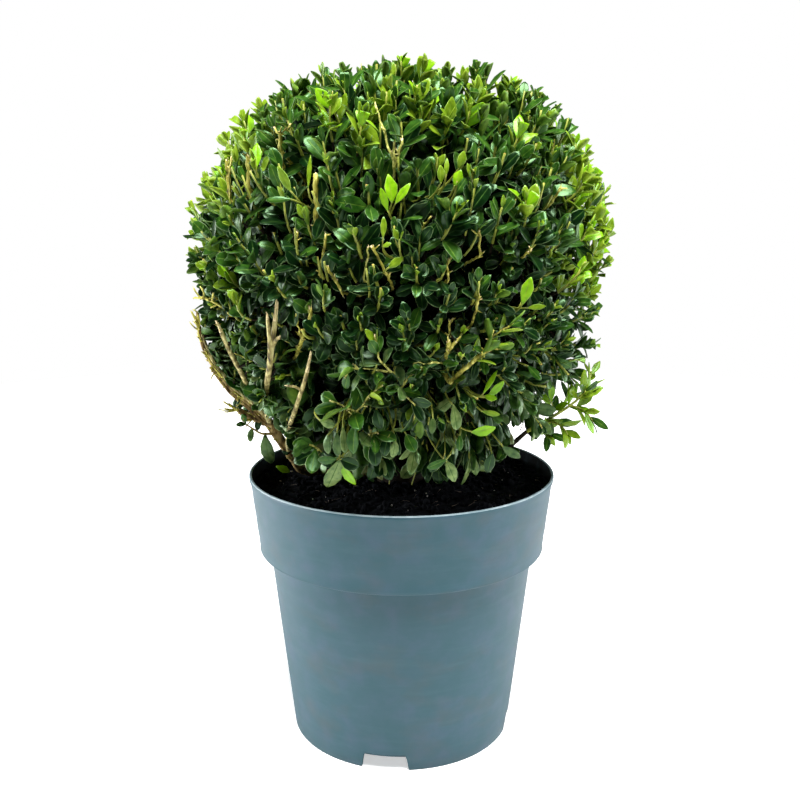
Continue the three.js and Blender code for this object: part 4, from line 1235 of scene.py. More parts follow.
def build_cut_shoots(branches, outer):
    """The clipped shoots seen in the photograph, each carried out from the nearest branch to a torn end.

    Nubs, bark strips and whiskers make a second piece, with every fifth station.
    """
    paths = []
    for corners, *_ in CUT_SHOOTS.values():
        places = np.array([sighted(*corner) for corner in corners])
        start = branches[nearest_branch(branches, places[:1])[0], -1]
        deep = places[0] * (1.0 - DEEP_SHARE) + CROWN_MIDDLE * DEEP_SHARE - UP * DEEP_DROP
        paths.append(kinked_path([start, deep, *places], CUT_STATIONS))
    paths = np.array(paths)
    paths[:, 1:] += RANDOM.normal(size=paths[:, 1:].shape) * CUT_WAVER
    strips, strip_width = grow_bark_strips()
    nubs = grow_nubs(paths)
    whiskers = grow_whiskers(outer)
    width = np.concatenate([strip_width, np.repeat([NUB_WIDTH, WHISKER_WIDTH], [len(nubs), WHISKERS])])
    width = width * RANDOM.uniform(*SPUR_WIDTHS, len(width))
    paths = np.concatenate([paths, strips, nubs, whiskers])
    thick_foot, thick_tip = np.array([row[1:3] for row in CUT_SHOOTS.values()]).T
    scale = np.where(thick_foot >= STOUT, STOUT_SCALE, SLIM_SCALE)
    foot = np.concatenate([thick_foot * scale, width * SPUR_FOOT])[:, None]
    tip = np.concatenate([thick_tip * scale, width * SPUR_TIP])[:, None]
    radius = foot + (tip - foot) * np.linspace(0.0, 1.0, CUT_STATIONS)[None]
    torn = RANDOM.uniform(*CUT_TEAR, size=(len(paths), CUT_SIDES)) * np.minimum(foot, 1.0)
    relief = bark_relief(len(paths), CUT_STATIONS, CUT_SIDES, CUT_RIDGES)
    sallow = np.array([row[3] == "sallow" for row in CUT_SHOOTS.values()]).astype(int)
    tan = np.zeros(len(strips), int)
    bark = np.concatenate([sallow, tan, np.repeat(sallow, NUBS), np.zeros(WHISKERS, int)])
    barks = [STUB_BARK, SALLOW_BARK, CUT_WOOD]
    shoots = slice(0, len(CUT_SHOOTS))
    spurs = slice(len(CUT_SHOOTS), None)
    for name, part, step in (("cut_shoots", shoots, 1), ("cut_shoot_spurs", spurs, SPUR_STEP)):
        along = (part, slice(None, None, step))
        points, quads, fans, far = tubes(paths[along], radius[along], CUT_SIDES, relief[along], torn[part])
        number = len(bark[part])
        quad_bark, fan_bark = (np.repeat(bark[part], len(faces) // number) for faces in (quads, fans))
        marks = np.concatenate([quad_bark, np.where(far, barks.index(CUT_WOOD), fan_bark)])
        make_piece(name, points, [quads, fans], barks, face_materials=marks)


# Leaves

LEAF_LENGTH = 13.8
LEAF_DEPTH = 0.4
RIM_DROP = 0.2
SKIN, RIM, BACK = range(3)
FINE_LEAF = {
    "stations": np.array([0.0, 0.14, 0.38, 0.64, 0.88, 1.0]),
    "widths": np.array([0.10, 0.38, 0.88, 1.0, 0.74, 0.20]),
    "across": np.array([-1.0, -0.91, -0.06, 0.06, 0.91, 1.0]),
    "drop": RIM_DROP * np.array([1, 0, 0, 0, 0, 1]),
    "parts": [RIM, SKIN, BACK, SKIN, RIM],
}
PLAIN_LEAF = {
    "stations": np.array([0.0, 0.35, 0.72, 1.0]),
    "widths": np.array([0.12, 0.84, 0.92, 0.16]),
    "across": np.array([-1.0, 0.0, 1.0]),
    "drop": np.zeros(3),
    "parts": [SKIN, SKIN],
}
PAIR_STEPS = np.array([0.4, 4.5, 10.5, 17.5, 25.0])
PAIR_ANGLES = np.radians([13.0, 27.0, 39.0, 50.0, 60.0])
PAIR_SIZES = np.array([0.52, 0.86, 1.02, 1.08, 1.0])
INNER_PAIRS = 3
PAIR_STRETCH = (0.85, 1.2)
UPPER_STRETCH = 0.28
UPPER_HEIGHTS = (-0.1, 0.4)
LOWEST_NODE = 0.15
TURN_SPREAD = 0.25
ANGLE_SPREAD = 0.18
FACE_SPREAD = 0.35
FACE_UP = 0.3
FACE_OUT = 0.5
HANG = 0.9
HANG_DEPTHS = (0.3, 0.8)
STALK = 0.5
LEAF_SIZES = (0.80, 1.14)
HANGING_GROWTH = 0.45
UPPER_GROWTH = 0.32
LEAF_WIDTHS = (0.39, 0.53)
BELLIES = (0.85, 1.15)
YOUNG_OLD_FOLD = (0.32, 0.22)
YOUNG_OLD_CURL = (-0.05, -0.14)
YOUNG_OLD_POINT = (0.6, 0.0)
POINT_SPREAD = (0.0, 0.4)
SHAPE_SPREAD = 0.10
BROAD_PLACE = (HOLLOW, cosine(50), cosine(25))
BROAD = 0.35
TAPERING = 0.5
TAPER_FROM = 0.6
STEM_STATIONS = 12
STEM_SIDES = 6
STEM_RADII = (0.9, 0.5)
PLACED_FACING = np.array([0.0, -0.6, 0.5])
PLACED_SWAY = 0.7
SWAY_RISE = 0.5
STEM_BEND = 0.5
STEM_OVERLAP = 0.8
BROADEST = 0.6
COMMON_WIDTH = 0.46
RIM_HIGHLIGHT_SHARE = 0.6


def leaf_points(form, base, axis, face, length, width, belly, fold, curl, pointed, cut):
    """Leaves as a grid of stations along by points across: an egg outline, halves folded up, the tip curled.

    Height over the flat leaf is fold times the distance from the midrib, plus curl times the length times
    the square of the share along, less the rim's drop. The stations are raised to the power belly, which
    moves the widest place, and pointed draws in the outer part. A leaf that the shears cut ends bluntly at
    the share cut of its length. The back is one more row of points under the midrib.
    """
    side = np.cross(face, axis)
    station = form["stations"][None] * cut[:, None]
    share = station ** belly[:, None]
    along = length[:, None] * share
    outline = np.interp(station, form["stations"], form["widths"])
    outline = outline * (1.0 - TAPERING * pointed[:, None] * smooth_step(station, TAPER_FROM, 1.0))
    across = 0.5 * width[:, None, None] * outline[..., None] * form["across"]
    rise = (curl * length)[:, None] * share**2
    over = rise[..., None] + fold[:, None, None] * np.abs(across) - form["drop"]
    top = (
        base[:, None, None]
        + axis[:, None, None] * along[:, :, None, None]
        + side[:, None, None] * across[..., None]
        + face[:, None, None] * over[..., None]
    )
    back = base[:, None] + axis[:, None] * along[..., None] + face[:, None] * (rise - LEAF_DEPTH)[..., None]
    return np.concatenate([top.reshape(len(base), top.shape[1] * top.shape[2], 3), back], axis=1)


def leaf_faces(form):
    """Corner numbers of one leaf's faces, four-sided and in fans, and which part each four-sided one is."""
    rows = len(form["stations"])
    columns = len(form["across"])
    row = np.arange(rows - 1)
    column = np.arange(columns - 1)
    first = row[:, None] * columns + column[None]
    top = np.stack([first, first + columns, first + columns + 1, first + 1], axis=-1).reshape(-1, 4)
    spine = rows * columns + row
    edge = row * columns + columns - 1
    left = np.stack([row * columns, spine, spine + 1, (row + 1) * columns], axis=-1)
    right = np.stack([spine, edge, edge + columns, spine + 1], axis=-1)
    foot_pole = np.full(columns - 1, rows * columns)
    foot_fan = np.stack([column, column + 1, foot_pole], axis=-1)
    tail = (rows - 1) * columns + column
    tip_fan = np.stack([tail + 1, tail, foot_pole + rows - 1], axis=-1)
    part = np.concatenate([np.tile(form["parts"], rows - 1), np.full(2 * (rows - 1), BACK)])
    return np.concatenate([top, left, right]), np.concatenate([foot_fan, tip_fan]), part


def leaves_on(paths, tones, first_pair=1, height=0.0, bare=0.0):
    """Opposite pairs of leaves down each shoot, each pair a quarter turn on, facing the shoot's tip.

    tones is (shoots, pairs), bare the length of each shoot's tip without leaves. Low leaves hang.
    Returns the leaves' frames, sizes and tones, and the shoot of each leaf.
    """
    number, stations, _ = paths.shape
    pairs = tones.shape[1]
    chosen = slice(first_pair, first_pair + pairs)
    height = np.broadcast_to(height, number)
    bare = np.broadcast_to(bare, number)
    run = np.linalg.norm(np.diff(paths, axis=1), axis=-1).sum(axis=1)
    upper = smooth_step(height, *UPPER_HEIGHTS)[:, None]
    stretch = RANDOM.uniform(*PAIR_STRETCH, (number, 1)) * (1.0 + UPPER_STRETCH * upper)
    back = PAIR_STEPS[None, chosen] * stretch + bare[:, None]
    place = np.clip(1.0 - back / run[:, None], LOWEST_NODE, 1.0) * (stations - 1)
    low = np.minimum(place.astype(int), stations - 2)
    part = (place - low)[..., None]
    shoot = np.arange(number)[:, None]
    nodes = paths[shoot, low] * (1 - part) + paths[shoot, low + 1] * part
    along, first, second = (rows[shoot, low][:, :, None] for rows in cross_frames(paths))
    turn = RANDOM.uniform(0, FULL_TURN, (number, 1)) + np.arange(pairs)[None] * np.pi / 2
    turn = turn[..., None] + np.array([0.0, np.pi]) + RANDOM.normal(size=(number, pairs, 2)) * TURN_SPREAD
    radial = np.cos(turn)[..., None] * first + np.sin(turn)[..., None] * second
    angle = PAIR_ANGLES[None, chosen, None] + RANDOM.normal(size=turn.shape) * ANGLE_SPREAD
    axis = np.cos(angle)[..., None] * along + np.sin(angle)[..., None] * radial
    hang = smooth_step(-height, *HANG_DEPTHS)[:, None, None, None]
    axis = unit(axis - UP * hang * HANG)
    face = along + UP * FACE_UP + outward_at(nodes)[:, :, None] * FACE_OUT
    face = square_to(face + RANDOM.normal(size=axis.shape) * FACE_SPREAD, axis)
    size = PAIR_SIZES[None, chosen, None] * RANDOM.uniform(*LEAF_SIZES, turn.shape)
    size = size * (1.0 + HANGING_GROWTH * hang[..., 0] + UPPER_GROWTH * upper[..., None])
    tone = np.broadcast_to(tones[:, :, None], turn.shape)
    owner = np.broadcast_to(shoot[..., None], turn.shape)
    base = nodes[:, :, None] + radial * STALK
    return [*(rows.reshape(-1, 3) for rows in (base, axis, face)), size.ravel(), tone.ravel(), owner.ravel()]


def build_leaves(name, base, axis, face, size, tone, stands_for=(), slim=1.0, plain=None, cut=1.0):
    """One piece of many leaves: the tone's skin above, a painted highlight on the rim of most fine ones, and
    a back by age.
    """
    number = len(base)
    length = LEAF_LENGTH * size
    young = YOUNG[tone]
    broad = near_way(outward_at(base), *BROAD_PLACE)
    shape = {
        "base": base,
        "axis": axis,
        "face": face,
        "length": length,
        "width": length * RANDOM.uniform(*LEAF_WIDTHS, number) * slim * (1.0 + BROAD * broad),
        "belly": RANDOM.uniform(*BELLIES, number),
        "fold": np.where(young, *YOUNG_OLD_FOLD) + RANDOM.normal(size=number) * SHAPE_SPREAD,
        "curl": np.where(young, *YOUNG_OLD_CURL) + RANDOM.normal(size=number) * SHAPE_SPREAD,
        "pointed": np.where(young, *YOUNG_OLD_POINT) + RANDOM.uniform(*POINT_SPREAD, number),
        "cut": np.broadcast_to(cut, number),
    }
    # Most leaves get the painted highlight on their rim; the rest keep their skin there.
    highlighted = RANDOM.uniform(size=number) < RIM_HIGHLIGHT_SHARE
    rim = np.where(highlighted, FIRST_RIM_HIGHLIGHT + young, tone)[:, None]
    back = np.where(tone == MID, MID_BACK, FIRST_BACK + young)[:, None]
    plain = np.zeros(number, bool) if plain is None else plain
    parts = []
    for form, here in ((FINE_LEAF, ~plain), (PLAIN_LEAF, plain)):
        grid = leaf_points(form, **{key: rows[here] for key, rows in shape.items()})
        quads, fans, part = leaf_faces(form)
        marks = np.where(part == SKIN, tone[here][:, None], np.where(part == RIM, rim[here], back[here]))
        parts.append([*copied(grid, quads, fans), marks.ravel(), np.repeat(back[here], len(fans))])
    points, faces, marks = joined(parts)
    make_piece(name, points, faces, LEAF_MATERIALS, stands_for, face_materials=marks)


def build_placed_leaves(branches):
    """Leaves where the photograph shows them, each on a thin stem from the nearest branch."""
    feet, tips = placed_leaf_ends()
    axis = unit(tips - feet)
    sway = GOLDEN_TURN * np.arange(len(feet))
    facing = outward_at(feet) + PLACED_FACING
    facing = facing + PLACED_SWAY * np.stack([np.cos(sway), 0.0 * sway, SWAY_RISE * np.sin(sway)], axis=-1)
    starts = branches[nearest_branch(branches, feet), -1]
    run = np.linalg.norm(feet - starts, axis=1, keepdims=True)
    bends = feet - unit(facing + axis) * run * STEM_BEND
    stems = bent_paths(starts, bends, feet + axis * STEM_OVERLAP, STEM_STATIONS)
    stem_radius = tapered(stems, *STEM_RADII)
    tube_piece("placed_leaf_stems", stems, stem_radius, STEM_SIDES, GREEN_STEM)
    rows = list(PLACED_LEAVES.values())
    across = np.array([width for *_, width, _ in rows])
    along = np.array([np.hypot(*np.subtract(tip, foot)) for foot, tip, *_ in rows])
    tone = np.array([TONES.index(row[-1]) for row in rows])
    slim = np.minimum(across / along, BROADEST) / COMMON_WIDTH
    size = np.linalg.norm(tips - feet, axis=1) / LEAF_LENGTH
    build_leaves("placed_leaves", feet, axis, square_to(facing, axis), size, tone, slim=slim)


# The crown as a whole

OUTER_SHOOTS = (930, (0.895, 0.995), 0.4, 5)
INNER_SHOOTS = (560, (0.62, 0.80), 1.7, 5)
CORE_SHOOTS = (280, (0.36, 0.58), 2.9, 1)
GREEN_FROM = 4
SHORN_SHARE = 0.42
SHORN_LOWEST = -0.45
SHORN_THICKNESS = 1.25
SHORN_BARE = (3.0, 8.0)
LOW_THINNING = 0.35
THINNING_DEPTHS = (0.4, 0.7)
INNER_LEAF_SCALE = 1.25
# crest: more young, brighter leaves at the top back, partly real flush and partly painted light.
FLUSH_SHARES = {"anywhere": 0.04, "top": 0.27, "right": 0.80, "left": 0.28, "crest": 0.42}
GREEN_SHARES = {"anywhere": 0.24, "top": 0.76, "right": 0.55, "left": 0.25}
LIME_SHARES = {"anywhere": 0.20, "right": 0.55, "left": 0.4, "placed": 0.4}
SHADED_PLACE = (DARK_HOLLOW, cosine(18), cosine(10))
FRONT_GREEN = 0.45
THIRD_PAIR_LIME = 0.6
FOURTH_PAIR_FRESH = 0.5
GREEN_TIPS = 0.6
FRESH_TIPS = 0.3
OLD_SHARE = 0.48
WORN_SHARE = 0.05
PALE_OLD_SHARE = 0.30
SHEAR_RANGE = (0.99, 1.025)
SHOULDER_PROUD = 0.03
SKIRT_LOOSE = 0.2
LOOSE_HEIGHTS = (-0.4, -0.6)
SHORTEST_CUT = 0.35
SKIRT_LEAF_LOSS = 0.35
LEAF_LOSS_DEPTHS = (0.4, 0.65)
LEAF_HEM = SOIL + 4.0
LEAF_HEM_RISE = 15.0
HEM_RADII = (30.0, 90.0)
LEAF_LOW_LEFT = 3.0
SIGHT_CHECKS = (0.1, 0.5, 0.9)


def weighed(shares, places):
    """The sum of shares, each times how far its place holds."""
    return sum(share * places[name] for name, share in shares.items())


def outer_tones(paths, height, parent, placed):
    """Tone of each pair on the outer shoots: young tips at the top, right and some places, dusty low.

    Young shoots come in sprays, by branch. Deeper pairs are darker towards the front, and those in the dark
    hollow darkest: painted shade. More young tips on the crest at the top back are partly painted light.
    """
    number = len(paths)
    tip = paths[:, -1]
    places = {
        "anywhere": 1.0,
        "top": smooth_step(height, 0.1, 0.75),
        "right": smooth_step(tip[:, 0], 85.0, 135.0) * smooth_step(height, -0.35, 0.1),
        "left": smooth_step(-tip[:, 0], 90.0, 135.0) * (height > 0.05),
        "crest": smooth_step(height, 0.6, 0.9) * smooth_step(tip[:, 1], -30.0, 20.0),
        "placed": placed,
    }
    spray = RANDOM.uniform(size=BRANCHES)[parent]
    young = 0.5 * spray + 0.5 * RANDOM.uniform(size=number) < weighed(FLUSH_SHARES, places)
    young = (young | placed)[:, None]
    # Painted shade: leaves in the dark hollow lose their green and get no paler old leaves.
    shade = near_way(outward_at(tip), *SHADED_PLACE)
    low = (smooth_step(-height, 0.35, 0.75) > RANDOM.uniform(size=number)) & (shade < 0.5)
    pair = np.arange(len(PAIR_STEPS))[None]
    chance = RANDOM.uniform(size=(number, len(PAIR_STEPS)))
    behind = smooth_step(tip[:, 1], -50.0, 10.0)[:, None]
    green = weighed(GREEN_SHARES, places)[:, None]
    # Painted shade: deeper pairs lose their green towards the front.
    deep_green = np.where(pair >= 3, FRONT_GREEN + (1.0 - FRONT_GREEN) * behind, 1.0)
    green = green * deep_green * (1.0 - shade)[:, None]
    limy = weighed(LIME_SHARES, places)[:, None]
    tone = np.where(chance < green, MID, DARK)
    tone = np.where(young & (pair <= 1), np.where(chance < limy, LIME, FRESH), tone)
    tone = np.where(young & (pair == 2), np.where(chance < THIRD_PAIR_LIME * limy, LIME, FRESH), tone)
    tone = np.where(young & (pair == 3), np.where(chance < FOURTH_PAIR_FRESH, FRESH, MID), tone)
    green_tip = ~young & (pair == 0) & (chance < GREEN_TIPS)
    tone = np.where(green_tip, np.where(chance < FRESH_TIPS, FRESH, MID), tone)
    old = np.where(chance < WORN_SHARE, WORN, np.where(chance < PALE_OLD_SHARE, PALE, DUSTY))
    return np.where(low[:, None] & ~young & (chance < OLD_SHARE), old, tone)


def build_shoots(outer, outer_height, others, shorn):
    """All leafy shoots as thin tubes, near black at the foot as painted shade, green further out; shorn ones
    have a pale tip.
    """
    wood = np.concatenate([outer, others])
    clipped = np.concatenate([shorn, np.zeros(len(others), bool)])
    thick = np.where(clipped, SHORN_THICKNESS, 1.0)[:, None]
    thick[: len(outer)] *= 1.0 - LOW_THINNING * smooth_step(-outer_height, *THINNING_DEPTHS)[:, None]
    points, quads, ends, far = tubes(wood, tapered(wood, *SHOOT_RADII, thick), SHOOT_SIDES)
    green = np.repeat(np.arange(SHOOT_STATIONS - 1) >= GREEN_FROM, SHOOT_SIDES)
    end_marks = np.where(far & np.repeat(clipped, 2 * SHOOT_SIDES), 2, 1)
    marks = np.concatenate([np.tile(green, len(wood)), end_marks])
    skins = [PAINTED_SHADE_BARK, GREEN_STEM, CLIPPED_TIP]
    make_piece("crown_shoots", points, [quads, ends], skins, face_materials=marks)


def sheared(base, tips):
    """The share of each leaf that the shears left: to a ragged outline, proud at the right, loose low."""
    outward = outward_at(tips)
    proud = SHOULDER_PROUD * near_way(outward, *RIGHT_SHOULDER)
    loose = SKIRT_LOOSE * smooth_step(outward[:, 2], *LOOSE_HEIGHTS)
    reach = RANDOM.uniform(*SHEAR_RANGE, len(base)) + proud + loose
    foot_share = share_at(base)
    tip_share = share_at(tips)
    cut = np.clip((reach - foot_share) / np.maximum(tip_share - foot_share, 1e-6), 0.0, 1.0)
    return np.where(tip_share < reach, 1.0, cut)


def leaves_kept(base, tips, cut, plain):
    """Which leaves stay: those inside the low edges, long enough, and not before what is shown."""
    hem = LEAF_HEM + LEAF_HEM_RISE * smooth_step(np.hypot(tips[:, 0], tips[:, 1]), *HEM_RADII)
    keep = (past_low_left(tips) < LEAF_LOW_LEFT) & (cut > SHORTEST_CUT) & (tips[:, 2] > hem)
    loss = SKIRT_LEAF_LOSS * smooth_step(-outward_at(base)[:, 2], *LEAF_LOSS_DEPTHS)
    keep &= plain | (RANDOM.uniform(size=len(base)) > loss)
    shown = kept_in_sight()
    for share in SIGHT_CHECKS:
        keep &= ~stands_before(base + (tips - base) * share, shown)
    return keep


def build_crown():
    """All branches, shoots and leaves of the crown: leaves in one piece for each mass."""
    branches, branch_mass = grow_branches()
    grown = grow_shoots(*OUTER_SHOOTS, branches, branch_mass)
    flush = grow_flush(branches)
    outer, outer_mass, outer_height, parent = (np.concatenate(rows) for rows in zip(grown, flush))
    placed = np.arange(len(outer)) >= len(outer) - len(FLUSH_PLACES)
    deeper = [grow_shoots(*kind, branches, branch_mass) for kind in (INNER_SHOOTS, CORE_SHOOTS)]
    inner, inner_mass, inner_height, _ = (np.concatenate(rows) for rows in zip(*deeper))
    relief = bark_relief(len(branches), BRANCH_STATIONS, BRANCH_SIDES, BRANCH_RIDGES)
    branch_radius = tapered(branches, *BRANCH_RADII)
    # The branches take the bark with painted shade.
    tube_piece("crown_branches", branches, branch_radius, BRANCH_SIDES, PAINTED_SHADE_BARK, relief)
    build_cut_shoots(branches, outer)
    build_placed_leaves(branches)
    low_shoots = grow_limb_shoots()
    shorn = (RANDOM.uniform(size=len(outer)) < SHORN_SHARE) & (outer_height > SHORN_LOWEST) & ~placed
    build_shoots(outer, outer_height, np.concatenate([inner, low_shoots]), shorn)
    bare = np.where(shorn, RANDOM.uniform(*SHORN_BARE, len(outer)), 0.0)
    tones = outer_tones(outer, outer_height, parent, placed)
    outside = leaves_on(outer, tones, 0, outer_height, bare)
    # Every leaf on the inner and core shoots takes the deep tone of painted shade.
    inside = leaves_on(inner, np.full((len(inner), INNER_PAIRS), DEEP_SHADE_TONE), height=inner_height)
    mixed = RANDOM.choice([DARK, MID, DUSTY, DUSTY], size=(len(low_shoots), INNER_PAIRS))
    lower = leaves_on(low_shoots, mixed)
    mass = np.concatenate([outer_mass[outside[-1]], inner_mass[inside[-1]], mass_of(lower[0])])
    mass = np.where(mass == LOW_RIGHT, MASSES.index("right"), mass)
    inside[3] = inside[3] * INNER_LEAF_SCALE
    leaves = [np.concatenate(rows) for rows in zip(outside[:5], inside[:5], lower[:5])]
    plain = np.repeat([False, True, False], [len(outside[0]), len(inside[0]), len(lower[0])])
    base, axis, _, size, _ = leaves
    tips = base + axis * LEAF_LENGTH * size[:, None]
    cut = sheared(base, tips)
    keep = leaves_kept(base, tips, cut, plain)
    for number, name in enumerate(CLIPPED_MASSES):
        here = keep & (mass == number)
        chosen = (rows[here] for rows in leaves)
        build_leaves("leaves_" + name, *chosen, ["foliage_" + name], plain=plain[here], cut=cut[here])


# Sprays and twigs outside the ball

SPRAY_STEM = [(89.4, -42.1, 241.4), (105, -46, 252), (119, -48, 262), (133, -48, 275)]
SPRAY_PLACES = 12
SPRAY_SHOOTS = {
    1: (10, -14, -4),
    3: (14, -12, -7),
    4: (-4, -6, 14),
    5: (9, 14, 14),
    7: (15, -9, -10),
    8: (4, -14, 10),
    9: (8, 10, 16),
}
SPRAY_BOW = np.array([4.0, 0.0, 4.0])
SPRAY_FACING = np.array([0.0, -0.9, 0.5])
SPRAY_LEAF_SCALE = 1.08
SPRAY_SLIM = 0.9
SPRAY_RADII = (1.2, 0.6)
SPRAY_STEM_THICKNESS = 1.2
SPRAY_SHOOT_THICKNESS = 0.75
LOW_LEFT_TWIG = [(-92, -21, 234), (-97, -24, 235), (-102, -27, 236), (-107, -30, 240), (-112, -32, 244)]
LOW_LEFT_TWIG_RADII = (1.1, 0.6)
LOW_LEFT_TWIG_STATIONS = 10
LOW_LEFT_LEAVES = [
    ((-99.5, -26, 236.0), (0.06, -0.2, -1.0), (-0.2, -1.0, 0.1), 23.0, "dusty"),
    ((-112, -30, 262), (-0.6, -0.2, -0.6), (-0.3, -0.9, 0.3), 9.0, "dark"),
    ((-116, -31, 265), (-0.4, -0.2, -0.9), (-0.5, -0.8, 0.1), 10.0, "dark"),
    ((-108, -29, 258), (-0.7, 0.1, -0.5), (-0.3, -0.8, 0.4), 9.0, "mid"),
    ((-112, -32, 244), (-0.3, 0.0, 0.8), (-0.4, -0.9, 0.1), 8.0, "mid"),
    ((-112, -32, 244), (-0.8, -0.3, 0.1), (0.0, -0.7, 0.6), 7.0, "mid"),
    ((-108, -30, 241), (-0.2, -0.3, -0.8), (-0.3, -0.9, 0.1), 10.0, "dusty"),
    ((-105, -28, 238), (0.2, -0.2, 0.9), (-0.3, -0.9, 0.1), 10.0, "dark"),
    ((-86, -16, 226), (0.1, -0.3, -0.9), (-0.1, -0.9, 0.2), 9.0, "dark"),
    ((-97, 12, 200.5), (0.85, -0.3, -0.28), (0.1, -0.75, 0.65), 12.0, "lime"),
]
LONG_LEAF = 18.0
LONG_LEAF_SLIM = 0.8
LEAFY_TWIGS = {
    "skirt_twig": -0.6,
    "vee_left": -0.5,
    "vee_right": -0.4,
    "left_curl": -0.3,
    "slanting_twig": -0.2,
    "star_prong": -0.2,
    "hooked_twig": -0.5,
    "low_middle_stub": -0.6,
    "torn_twig": -0.2,
    "torn_twig_far": 0.0,
    "torn_twig_low": -0.1,
    "level_twig": -0.3,
}
DUSTY_BELOW = -0.45


def build_low_spray():
    """The open spray at the lower right: one stem, side shoots, and narrow bright leaves."""
    starts = smooth_path(SPRAY_STEM, SPRAY_PLACES)[list(SPRAY_SHOOTS)]
    ends = starts + np.array(list(SPRAY_SHOOTS.values()), dtype=float)
    bends = starts + 0.5 * (ends - starts) + SPRAY_BOW
    shoots = bent_paths(starts, bends, ends, SHOOT_STATIONS)
    whole = np.concatenate([smooth_path(SPRAY_STEM, SHOOT_STATIONS)[None], shoots])
    thick = np.full((len(whole), 1), SPRAY_SHOOT_THICKNESS)
    thick[0] = SPRAY_STEM_THICKNESS
    tube_piece("spray_stems", whole, tapered(whole, *SPRAY_RADII, thick), STEM_SIDES, GREEN_STEM)
    tones = RANDOM.choice([MID, FRESH, FRESH, LIME], size=(len(whole), INNER_PAIRS))
    base, axis, face, size, tone, _ = leaves_on(whole, tones)
    face = square_to(face + SPRAY_FACING, axis)
    size = size * SPRAY_LEAF_SCALE
    build_leaves("leaves_low_right", base, axis, face, size, tone, ["foliage_low_right"], slim=SPRAY_SLIM)


def build_low_left_leaves():
    """A twig under the low left fork, one long hanging leaf, small ones, and one fallen on the compost."""
    twig = smooth_path(LOW_LEFT_TWIG, LOW_LEFT_TWIG_STATIONS)[None]
    tube_piece("low_left_twig", twig, tapered(twig, *LOW_LEFT_TWIG_RADII), STEM_SIDES, TWIG_BARK)
    base, axis, face, length, tone = zip(*LOW_LEFT_LEAVES)
    axis = unit(np.array(axis, dtype=float))
    face = square_to(np.array(face, dtype=float), axis)
    size = np.array(length) / LEAF_LENGTH
    tone = np.array([TONES.index(name) for name in tone])
    slim = np.where(np.array(length) > LONG_LEAF, LONG_LEAF_SLIM, 1.0)
    build_leaves("leaves_low_left", np.array(base, dtype=float), axis, face, size, tone, slim=slim)


def build_twig_leaves():
    """Opposite leaves on the thin twigs of the lower front, which hang more the lower the twig."""
    paths = np.array([shoot_path(name, SHOOT_STATIONS) for name in LEAFY_TWIGS])
    height = np.array(list(LEAFY_TWIGS.values()))
    tones = RANDOM.choice([DARK, MID, MID, FRESH, DUSTY], size=(len(paths), INNER_PAIRS))
    tones = np.where((height < DUSTY_BELOW)[:, None] & (tones == FRESH), DUSTY, tones)
    grown = leaves_on(paths, tones, height=height)
    build_leaves("leaves_on_twigs", *grown[:5])


# Stage: places in metres, power in watts

SURROUND_FILL = 0.022
LAMPS = {
    "top": ((0.1, -0.5, 1.6), (0.0, 0.0, 0.4), 0.7, 60.0),
    "left": ((-1.4, 0.17, 0.30), (0.0, 0.0, 0.1), 0.9, 37.0),
    "right": ((1.4, 0.10, 0.30), (0.0, 0.0, 0.1), 0.9, 22.0),
}
SENSOR_WIDTH = 36.0
STAGE_RADIUS = 1.6
STAGE_SIDES = 96
GLOW = {"From Min": 0.1, "From Max": 0.6, "To Min": 0.55, "To Max": 1.0}


def build_surround(scene):
    """A surround that the camera sees white, and that lights the part only faintly."""
    scene.world = bpy.data.worlds.new("surround")
    scene.world.use_nodes = True
    tree = scene.world.node_tree
    fill = tree.nodes["Background"]
    set_inputs(tree, fill, {"Color": WHITE, "Strength": SURROUND_FILL})
    white = add_node(tree, "Background", {"Color": WHITE, "Strength": 1.0})
    seen = add_node(tree, "LightPath", {}).outputs["Is Camera Ray"]
    layers = {"Fac": seen, 1: fill.outputs["Background"], 2: white.outputs["Background"]}
    mix = add_node(tree, "MixShader", layers)
    set_inputs(tree, tree.nodes["World Output"], {"Surface": mix.outputs["Shader"]})


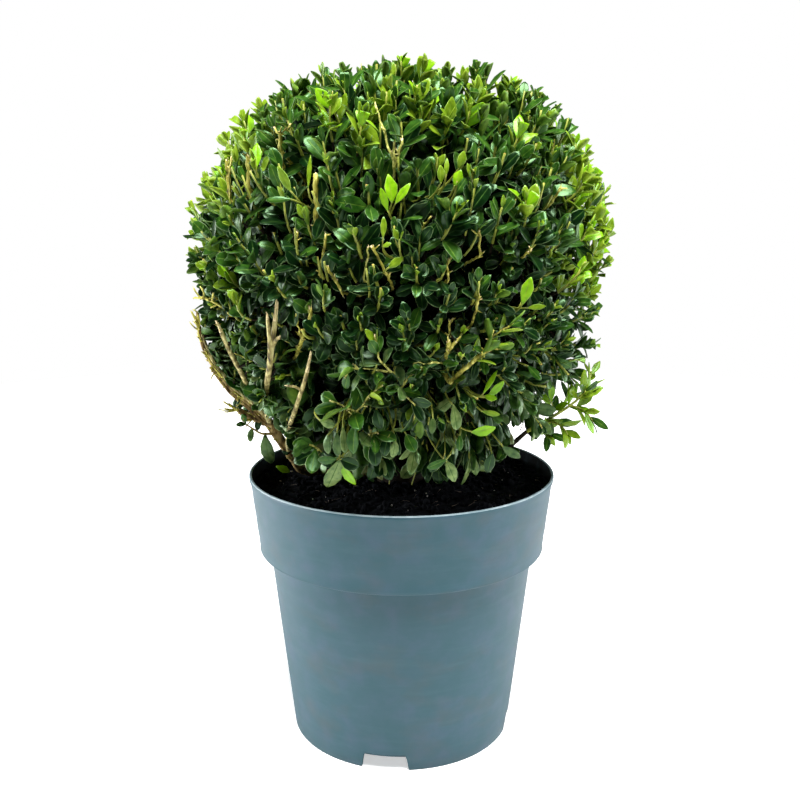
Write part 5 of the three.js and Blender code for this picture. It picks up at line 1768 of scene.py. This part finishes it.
def build_floor():
    """A round pale floor that takes a soft shadow by the pot and glows white towards its edge."""
    mesh = bpy.data.meshes.new("floor")
    turns = np.linspace(0, FULL_TURN, STAGE_SIDES, endpoint=False)
    rim = [(STAGE_RADIUS * np.cos(turn), STAGE_RADIUS * np.sin(turn), 0.0) for turn in turns]
    mesh.from_pydata(rim, [], [tuple(range(STAGE_SIDES))])
    greys = [(243, 243, 243), (247, 247, 247)]
    paint = blotched_material("floor_paint", greys, 80, 0.9, 3.0, 0.02, gloss=0.1)
    mesh.materials.append(paint)
    tree = paint.node_tree
    place = add_node(tree, "TexCoord", {}).outputs["Object"]
    reach = add_node(tree, "VectorMath", {0: place}, operation="LENGTH").outputs["Value"]
    glow = add_node(tree, "MapRange", {"Value": reach, **GLOW}).outputs["Result"]
    seen = add_node(tree, "LightPath", {}).outputs["Is Camera Ray"]
    shown = add_node(tree, "Math", {0: glow, 1: seen}, operation="MULTIPLY").outputs["Value"]
    set_inputs(tree, tree.nodes["Principled BSDF"], {"Emission Color": WHITE, "Emission Strength": shown})
    return new_object("floor", mesh)


def build_lamp(name, place, target, size, power):
    """A soft square lamp at a place, turned towards a target."""
    data = bpy.data.lights.new(name, "AREA")
    data.size = size
    data.energy = power
    lamp = new_object(name, data)
    lamp.location = place
    aim = np.array(target) - np.array(place)
    flat = np.hypot(aim[0], aim[1])
    lamp.rotation_euler = (np.arctan2(flat, -aim[2]), 0.0, np.arctan2(aim[1], aim[0]) - np.pi / 2)


def build_camera(scene):
    """The photograph's camera."""
    data = bpy.data.cameras.new("camera")
    data.sensor_width = SENSOR_WIDTH
    data.lens = SENSOR_WIDTH * FOCUS / PHOTO_WIDTH
    data.dof.use_dof = False
    scene.camera = new_object("camera", data)
    scene.camera.location = (CAMERA_PLACE * MM).tolist()
    scene.camera.rotation_euler = (np.pi / 2 - CAMERA_DIP, 0.0, 0.0)


def build_stage():
    """A pale floor, a white surround, soft lights, and the photograph's camera."""
    scene = bpy.context.scene
    scene.view_settings.view_transform = "Standard"
    scene.view_settings.look = "None"
    build_surround(scene)
    build_floor()
    for name, values in LAMPS.items():
        build_lamp(name, *values)
    build_camera(scene)


build_pot()
build_compost()
build_crumbs()
build_limbs()
build_crown()
build_low_spray()
build_low_left_leaves()
build_twig_leaves()
build_stage()
